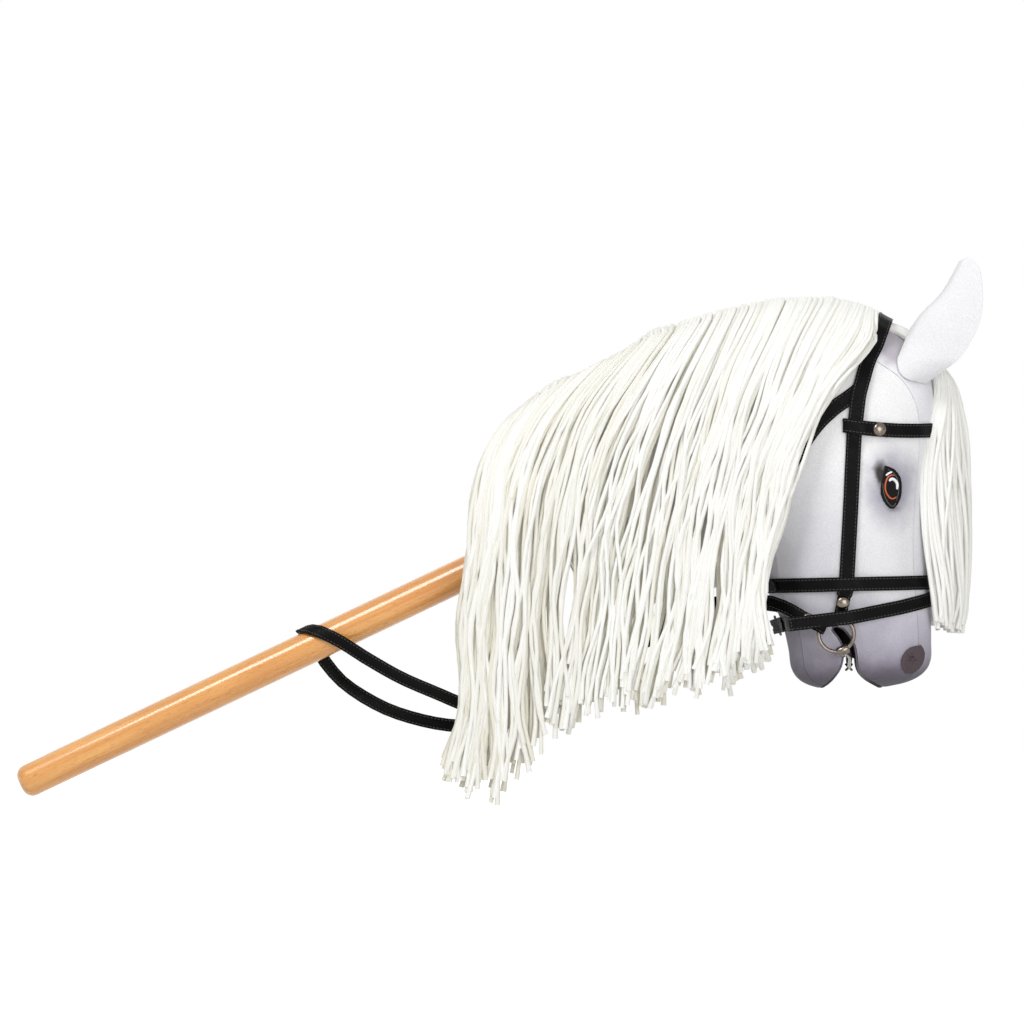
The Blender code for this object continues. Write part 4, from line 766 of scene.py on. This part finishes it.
MANE_LOCKS = (
    (440.4, 16.1, 1), (432.3, 6.4, 0), (424.1, 9.8, -3), (411.1, -10.6, -4), (396.6, -5.5, -8), (379.7, -14.8, -8),
    (361.0, -17.4, -12), (345.5, -29.3, -15), (326.8, -30.1, -16), (308.5, -19.9, -6), (294.9, -36.0, -11),
    (271.6, -49.6, -14), (257.6, -40.0, -3), (249.9, -59.8, 2), (242.3, -77.6, 5), (228.7, -87.8, 1),
    (215.2, -101.0, 2), (192.2, -95.2, -3), (178.4, -88.6, -6),
)
HEM_SHARES = ((0.0, 0.0), (0.2, 0.19), (0.39, 0.4), (0.54, 0.62), (0.67, 0.8), (0.79, 0.93), (1.0, 1.0))
MANE_SWEEP, SWEEP_MORE, SWEEP_EVENED = 2.3, 5.7, 0.38
BULGING_SHARE = (0.45, 0.9)
FRONT_SHARE, FRONT_HOLD = (0, 0.16), (-0.08, 0.22)
MANE_GUIDES = 48
GUIDE_STEPS = 48
GUIDE_SAMPLES, GUIDE_CROWDING = 160, 1.6
RAY_START, RAY_STEP = -0.3, 0.001
ROOT_OVER = ((-4.5, 5.0, 0), (1.0, 2.0, 1), (2.5, -3.0, 1))
ROOT_UNDER = ((-5.0, 3.0, 0), (-4.5, 0.0, 0), (-4.0, -3.0, 0))
MANE_NEAR_SIDE = -0.004
MANE_THICK, MANE_THIN = 0.016, 0.008
MANE_LAYERS = ((0.07, 70), (0.28, 84), (0.55, 96), (0.80, 96), (0.95, 88))
STRAY_STRANDS = 44
MANE_STEPS = 26
MANE_CROWDING = 1.12
LOCK_SEARCH = 200
LOCK_PULL, LOCK_LEAN = (0.3, 0.8), (0.4, 1.25)
LAST_PART, LEAST_FALL = 0.1, 0.005
RAGGED_OUTSIDE, RAGGED_INSIDE = (-0.006, 0.018), (0.0, 0.030)
OUTSIDE_DEPTH = 0.4
# From this depth the strands take painted shade, full over the next span.
BURIED_FROM, BURIED_OVER = 0.05, 0.5
LEAST_DEPTH, MOST_DEPTH = 0.03, 0.97
LOCK_WAVE, YARN_WAVE, DEPTH_WAVE = 0.0023, 0.0021, 0.2
LOCK_PACE, YARN_PACE, DEPTH_PACE = 14, 23, 6
YARN_FLICK = 0.0035
LOOSE_PART, PULLED_PART, STRAY_PART = (0.05, 0.55), (0.3, 1.0), (0.05, 1.0)
LEANING_PART, FLICKED_PART = (0.82, 1.08), (0.86, 1.04)
STRAP_OVERLAP, OVERLAP_SHARE = 0.0075, (0.0, 0.06)
OVERLAP_PART, OVERLAP_BACK, OVERLAP_LOSS = (0.10, 0.20), (0.5, 0.9), 0.8

# The yarn glows faintly warm though it is no lamp: painted light that lifts and warms the shade between strands.
wool, shader, tree = new_finish(
    "white_wool_yarn", Roughness=0.85, Sheen_Weight=0.1, Sheen_Roughness=0.5, Specular_IOR_Level=0.2,
    Emission_Color=(1.0, 0.97, 0.90, 1.0), Emission_Strength=0.05,
)
laid = add_node(tree, "ShaderNodeTexCoord").outputs["UV"]
laid = add_node(tree, "ShaderNodeSeparateXYZ", {0: laid}).outputs
plies = worked(tree, "ADD", worked(tree, "MULTIPLY", laid["X"], 36.0), laid["Y"])
plies = worked(tree, "SINE", worked(tree, "MULTIPLY", plies, 3 * math.tau))
fuzz = noise_in(tree, 1800.0, 2.0)["Fac"]
bumped(tree, shader, worked(tree, "ADD", plies, fuzz), 0.12, 0.0003)
cream = mixed(tree, noise_in(tree, 45.0, 1.0)["Fac"], tone(235, 235, 231), tone(242, 242, 239))
# Strands deep in the mane and forelock are painted darker and yellower: painted shade between the strands.
depth_shade = add_node(tree, "ShaderNodeAttribute", attribute_name="depth_shade").outputs["Fac"]
cream = mixed(tree, depth_shade, cream, tone(222, 219, 205))
# Painted shade in the grooves between the plies.
cream = moved(tree, "SCALE", cream, ranged(tree, plies, -1.0, -0.2, 0.975, 1.0))
tree.links.new(cream, shader.inputs["Base Color"])


def through(points, place):
    """The point at place, from 0 to the last index, on straight pieces between points."""
    low = min(max(int(place), 0), len(points) - 2)
    return points[low].lerp(points[low + 1], place - low)


def even(line, count):
    """count points at even distances along a line of points."""
    reach = [0.0]
    for a, b in zip(line, line[1:]):
        reach.append(reach[-1] + (b - a).length)
    found, i = [], 0
    for k in range(count):
        goal = reach[-1] * k / (count - 1)
        while i < len(line) - 2 and reach[i + 1] < goal:
            i += 1
        share = (goal - reach[i]) / max(reach[i + 1] - reach[i], 1e-12)
        found.append(line[i].lerp(line[i + 1], min(max(share, 0), 1)))
    return found


def lay_yarn(name, strands):
    """One piece of many lengths of yarn.

    Each length is the painted shade it takes from how deep it lies, from 0 outside to 1, and a list of (point,
    radius).
    """
    made = strands_of(name, [strand for _, strand in strands], 1.0)
    bpy.ops.object.shade_smooth_by_angle(angle=math.radians(75))
    each = len(made.data.vertices) // len(strands)
    depth_shade = made.data.attributes.new("depth_shade", "FLOAT", "POINT")
    for k, value in enumerate(depth_shade.data):
        value.value = strands[min(k // each, len(strands) - 1)][0]
    made.data.materials.append(wool)
    return made


mane_form = form_of(nodes["mane"])
crest = [Vector((x, 0, z)) / 1000 for x, z in MANE_CREST]
hem = smooth_line([Vector((x, 0, z)) / 1000 for x, z in MANE_HEM], 4)


def rising(value, low, high):
    """A smooth step from 0 at low to 1 at high."""
    t = min(max((value - low) / (high - low), 0), 1)
    return t * t * (3 - 2 * t)


def mane_drift(share, down):
    """How much of its way back a lock has drifted when it has come down by a part of its drop."""
    bulging = rising(share, *BULGING_SHARE)
    quick = 1 - (1 - down) ** (MANE_SWEEP + SWEEP_MORE * bulging)
    drift = quick + (down - quick) * SWEEP_EVENED * bulging * bulging
    return drift * (1 + (rising(down, *FRONT_HOLD) - 1) * (1 - rising(share, *FRONT_SHARE)))


def hem_share(share):
    """Where along the hem the yarn from a place along the crest comes down: the middle of the mane sweeps back."""
    for (low, start), (high, end) in zip(HEM_SHARES, HEM_SHARES[1:]):
        if share <= high:
            return start + (end - start) * (share - low) / (high - low)
    return 1.0


def mane_guide(share):
    """Matching points of the mane's outer and inner face, from the crest down to the hem."""
    place = share * (len(crest) - 1)
    root, end = through(crest, place), through(hem, hem_share(share) * (len(hem) - 1))
    ahead = through(crest, min(place + 0.5, len(crest) - 1)) - through(crest, max(place - 0.5, 0))
    up = Vector((ahead.z, 0, -ahead.x)).normalized()
    place *= (len(CREST_BUMPS) - 1) / (len(crest) - 1)
    low = min(int(place), len(CREST_BUMPS) - 2)
    bump = CREST_BUMPS[low] + (CREST_BUMPS[low + 1] - CREST_BUMPS[low]) * (place - low)
    outer, inner = [], []
    for k in range(1, GUIDE_SAMPLES + 1):
        down = (k / GUIDE_SAMPLES) ** GUIDE_CROWDING
        x = root.x + (end.x - root.x) * mane_drift(share, down)
        z = root.z + (end.z - root.z) * down
        hit = mane_form.ray_cast(Vector((x, RAY_START, z)), Vector((0, 1, 0)))[0]
        if hit is None:
            if outer:
                outer.append(Vector((x, outer[-1].y, z)))
                inner.append(Vector((x, inner[-1].y, z)))
            continue
        if hit.y > MANE_NEAR_SIDE:
            continue
        second = mane_form.ray_cast(Vector((x, hit.y + RAY_STEP, z)), Vector((0, 1, 0)))[0]
        back = min(second.y, hit.y + MANE_THICK) if second else hit.y + MANE_THIN
        outer.append(Vector((x, hit.y, z)))
        inner.append(Vector((x, back, z)))
    faces = []
    for root_steps, rest in ((ROOT_OVER, outer), (ROOT_UNDER, inner)):
        line = []
        for above, aside, bumps in root_steps:
            line.append(root + up * (above + bump * bumps) / 1000 + Vector((0, aside / 1000, 0)))
        faces.append(even(line + rest, GUIDE_STEPS))
    return faces


guides = [mane_guide(k / (MANE_GUIDES - 1)) for k in range(MANE_GUIDES)]


def in_mane(share, down, depth):
    """The point of the mane at a share of its width, its length and its thickness."""
    side = min(max(share, 0), 1) * (MANE_GUIDES - 1)
    low = min(int(side), MANE_GUIDES - 2)
    step = max(down, 0) * (GUIDE_STEPS - 1)
    found = []
    for guide in (guides[low], guides[low + 1]):
        faces = []
        for line in guide:
            if step > GUIDE_STEPS - 1:
                faces.append(line[-1] + (line[-1] - line[-2]) * (step - GUIDE_STEPS + 1))
            else:
                faces.append(through(line, step))
        found.append(faces[0].lerp(faces[1], depth))
    return found[0].lerp(found[1], side - low)


dice = random.Random(17)
hem_shares = [k / LOCK_SEARCH for k in range(LOCK_SEARCH + 1)]
lock_shares = []
for x, z, lean in MANE_LOCKS:
    lock_shares.append(min(hem_shares, key=lambda share: abs(in_mane(share, 1, 0.5).x - (x - lean) / 1000)))
lock_waves = [(dice.uniform(0, math.tau), dice.uniform(0.8, 1.3), dice.uniform(0.6, 1.3)) for _ in MANE_LOCKS]


def own_waves():
    """Where each of a length's three waves starts, and how close together its crests are."""
    return [(dice.uniform(0, math.tau), dice.uniform(0.75, 1.3)) for _ in range(3)]


def mane_strand(share, depth, stray):
    """One length of yarn: it waves with its lock, wanders a little, and is drawn to the lock's tip."""
    nearest = min(range(len(MANE_LOCKS)), key=lambda k: abs(lock_shares[k] - share))
    turn, pace, size_of_wave = lock_waves[nearest]
    tip_x, tip_z, lean = (item / 1000 for item in MANE_LOCKS[nearest])
    outside = depth < OUTSIDE_DEPTH
    pull = (lock_shares[nearest] - share) * dice.uniform(*LOCK_PULL)
    lean *= dice.uniform(*LOCK_LEAN)
    tip, before = (in_mane(share + pull + stray, down, depth) for down in (1, 1 - LAST_PART))
    goal = tip_z + abs(tip.x + lean - tip_x) + dice.uniform(*(RAGGED_OUTSIDE if outside else RAGGED_INSIDE))
    ends_at = 1.0 + LAST_PART * (tip.z - goal) / max(before.z - tip.z, LEAST_FALL)
    waves = own_waves()
    size = YARN_RADIUS * dice.uniform(0.86, 1.12)
    flick = dice.gauss(0, YARN_FLICK)
    ahead = STRAP_OVERLAP * (1 - rising(share, *OVERLAP_SHARE)) if outside else 0.0
    points = []
    for k in range(MANE_STEPS):
        down = ends_at * (k / (MANE_STEPS - 1)) ** MANE_CROWDING
        loose = rising(down, *LOOSE_PART)
        side = share + pull * rising(down, *PULLED_PART) + stray * rising(down, *STRAY_PART)
        within = depth + DEPTH_WAVE * math.sin(waves[2][0] + DEPTH_PACE * down * waves[2][1]) * loose
        at = in_mane(side, down, min(max(within, LEAST_DEPTH), MOST_DEPTH))
        at.x += loose * LOCK_WAVE * size_of_wave * math.sin(turn + LOCK_PACE * down * pace)
        at.x += loose * YARN_WAVE * math.sin(waves[0][0] + YARN_PACE * down * waves[0][1])
        at.x += lean * rising(down / ends_at, *LEANING_PART) + flick * rising(down / ends_at, *FLICKED_PART)
        at.x += ahead * rising(down, *OVERLAP_PART) * (1 - OVERLAP_LOSS * rising(down, *OVERLAP_BACK))
        flare = dice.uniform(1.05, 1.4) if k == MANE_STEPS - 1 else 1.0
        points.append((at, size * flare))
    return min(max((depth - BURIED_FROM) / BURIED_OVER, 0.0), 1.0), points


strands = []
for depth, count in MANE_LAYERS:
    for k in range(count):
        share = (k + dice.uniform(-0.4, 0.4)) / (count - 1)
        strands.append(mane_strand(share, depth + dice.uniform(-0.07, 0.07), dice.gauss(0, 0.013)))
for k in range(STRAY_STRANDS):
    strands.append(mane_strand(dice.uniform(0.03, 0.97), dice.uniform(0.0, 0.10), dice.gauss(0, 0.045)))
mane = lay_yarn("yarn_mane", strands)
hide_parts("mane")
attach(mane, "horse")

# Mane tape. A thin woven cotton tape along the crest, to which the yarn is sewn. Almost all of it is under the
# yarn.
TAPE_ROLL = 0.0002

tape_cloth, shader, tree = new_finish("cotton_tape", Roughness=0.9)
place = add_node(tree, "ShaderNodeTexCoord").outputs["Object"]
weave = {"Vector": place, "Scale": 1400.0, "Color1": tone(238, 238, 232), "Color2": tone(222, 222, 214)}
weave = add_node(tree, "ShaderNodeTexChecker", weave).outputs["Color"]
tree.links.new(weave, shader.inputs["Base Color"])
tape = joined_copy("mane_tape", "sewn_mane_tape", TAPE_ROLL, flatter=60)
tape.data.materials.append(tape_cloth)
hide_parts("mane_tape")
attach(tape, "horse")

# Forelock. About a hundred and thirty lengths of the same yarn start under the crown strap, pass between the
# ears and hang free in front of the forehead.
FORELOCK_LINE = (
    (547.6, 299.6), (561.4, 293.8), (577.4, 278.9), (588.8, 263.4), (597.6, 246.6),
    (604.5, 211.6), (606.8, 169.2), (606.8, 118.3), (606.0, 67.4), (604.0, 46.0),
)
FORELOCK_HALF_THICK = (4.6, 5.6, 6.4, 7.6, 10.2, 12.4, 14.0, 14.2, 13.0, 9.5)
FORELOCK_HALF_WIDE = (13, 13, 13, 13, 18, 34, 39, 39, 36, 32)
FORELOCK_BEND = (0, 0, 0, 0, 8, 23, 31, 31, 22, 18)
FORELOCK_STRANDS = 130
FORELOCK_STEPS = 30
FORELOCK_RINGS = (0.98, 0.72, 0.4)
# Painted shade taken by each ring of forelock strands further in.
FORELOCK_BURIED = 0.15
FORELOCK_DROP = 0.28
FORELOCK_SWAY, FORELOCK_WAVE = 0.22, 0.0009
SWAY_PACE, WAVE_PACE = 7, 19
FORELOCK_LOOSE = (0.1, 0.6)
LEAST_THICK = 0.0004

sections = []
for (x, z), *sizes in zip(FORELOCK_LINE, FORELOCK_HALF_THICK, FORELOCK_HALF_WIDE, FORELOCK_BEND):
    sections.append((Vector((x, 0, z)) / 1000, Vector(sizes) / 1000))
middle_line = smooth_line([item[0] for item in sections], 4)
half_sizes = smooth_line([item[1] for item in sections], 4)
last = len(middle_line) - 1
strands = []
for k in range(FORELOCK_STRANDS):
    ring = len(FORELOCK_RINGS) * k // FORELOCK_STRANDS
    turn = math.tau * k / FORELOCK_STRANDS * len(FORELOCK_RINGS) + dice.uniform(-0.2, 0.2)
    reach = FORELOCK_RINGS[ring] * dice.uniform(0.86, 1.0)
    ends_at = 1.0 + dice.uniform(-0.05, 0.025)
    waves = own_waves()
    size = YARN_RADIUS * dice.uniform(0.86, 1.1)
    points = []
    for j in range(FORELOCK_STEPS):
        down = ends_at * j / (FORELOCK_STEPS - 1)
        step = min(down, 1.0) * last
        at, half = through(middle_line, step), through(half_sizes, step)
        ahead = through(middle_line, min(step + 1, last)) - through(middle_line, max(step - 1, 0))
        out = Vector((-ahead.z, 0, ahead.x)).normalized()
        loose = rising(down, *FORELOCK_LOOSE)
        bend = turn + loose * FORELOCK_SWAY * math.sin(waves[0][0] + SWAY_PACE * down * waves[0][1])
        thick, wide = max(half.x - size, LEAST_THICK), half.y - size
        aside = reach * math.sin(bend)
        point = at + out * (thick * reach * math.cos(bend) - half.z * aside**2) + Vector((0, wide * aside, 0))
        point.x += loose * FORELOCK_WAVE * math.sin(waves[1][0] + WAVE_PACE * down * waves[1][1])
        if down > 1.0:
            point.z -= (down - 1.0) * FORELOCK_DROP
        flare = dice.uniform(1.0, 1.2) if j == FORELOCK_STEPS - 1 else 1.0
        points.append((point, size * flare))
    strands.append((FORELOCK_BURIED * ring, points))
forelock = lay_yarn("yarn_forelock", strands)
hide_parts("forelock")
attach(forelock, "horse")

# Bridle straps. Headpiece, browband, throatlatch, noseband and flash strap are the same coated leather as the
# reins, 12 to 13 mm wide and stitched along each edge. A keeper of the same leather holds noseband and flash
# strap together on the nose, and its ends lie snug on them.
SKIN_STEP = 0.002
KEEPER_SNUG = ((0.0902, 0.0912, 0.0886), (0.0610, 0.0620, 0.0634))

head_form = form_of(*(nodes[node] for node in ("side_panel_near", "side_panel_far", "face_gusset", "jaw_gusset")))


def away_from_head(at, normal):
    """Whether a strap's face looks away from the head, so that its stitches show."""
    near = head_form.find_nearest(at)[0]
    return (at + normal * SKIN_STEP - near).length > (at - normal * SKIN_STEP - near).length


for node in ("headpiece", "browband", "throatlatch", "noseband", "flash_strap", "front_keeper"):
    plain = joined_copy(node, f"plain_{node}")
    stitches = stitched(plain, f"{node}_stitches", away_from_head)
    bpy.data.objects.remove(plain)
    strap = joined_copy(node, f"leather_{node}", STRAP_EDGE_ROLL, rounds=1)
    if node == "front_keeper":
        for vert in strap.data.vertices:
            for low, high, snug in KEEPER_SNUG:
                if low < vert.co.z < high:
                    vert.co.z = snug
    strap.data.materials.append(leather)
    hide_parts(node)
    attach(strap, "horse")
    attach(stitches, "horse")

# Bit, rivets and buckles. Nickel-plated steel: a loose ring each side, the two halves of the jointed mouthpiece,
# domed rivets and two small wire buckles behind the jaw.
RING_CENTRE = Vector((0.5035, 0.0, 0.0384))
RING_SIDE = 0.05529
RING_RADIUS = 0.0149
RING_WIRE = 0.0018

# The plate is coloured much darker than bright nickel, as painted reflection of dark surroundings; its patches vary
# at random.
nickel, shader, tree, scuffs = noisy_finish(
    "nickel_plate", tone(84, 77, 70), tone(136, 127, 117), 500.0, 4.0, Metallic=1.0,
)
tree.links.new(ranged(tree, scuffs, 0.3, 0.7, 0.12, 0.3), shader.inputs["Roughness"])

for side, sign in (("near", -1), ("far", 1)):
    bpy.ops.object.select_all(action="DESELECT")
    bpy.ops.mesh.primitive_torus_add(
        location=RING_CENTRE + Vector((0, sign * RING_SIDE, 0)), rotation=(math.pi / 2, 0, 0),
        major_radius=RING_RADIUS, minor_radius=RING_WIRE, major_segments=72, minor_segments=18,
    )
    ring = bpy.context.object
    bpy.ops.object.transform_apply(location=True, rotation=True, scale=True)
    bpy.ops.object.shade_smooth()
    ring.name = f"nickel_ring_{side}"
    ring.data.materials.append(nickel)
    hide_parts(f"bit_ring_{side}")
    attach(ring, f"ring_{side}")
    half = joined_copy(f"mouthpiece_{side}", f"nickel_mouthpiece_{side}", flatter=50)
    half.data.materials.append(nickel)
    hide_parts(f"mouthpiece_{side}")
    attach(half, f"bit_{side}")

small_metal = [f"rivet_{place}_{side}" for place in ("brow", "cheek", "rein") for side in ("near", "far")]
small_metal += [f"{strap}_buckle_{part}" for strap in ("noseband", "flash_strap") for part in ("frame", "tongue")]
for node in small_metal:
    piece = joined_copy(node, f"nickel_{node}", flatter=50)
    piece.data.materials.append(nickel)
    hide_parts(node)
    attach(piece, "horse")
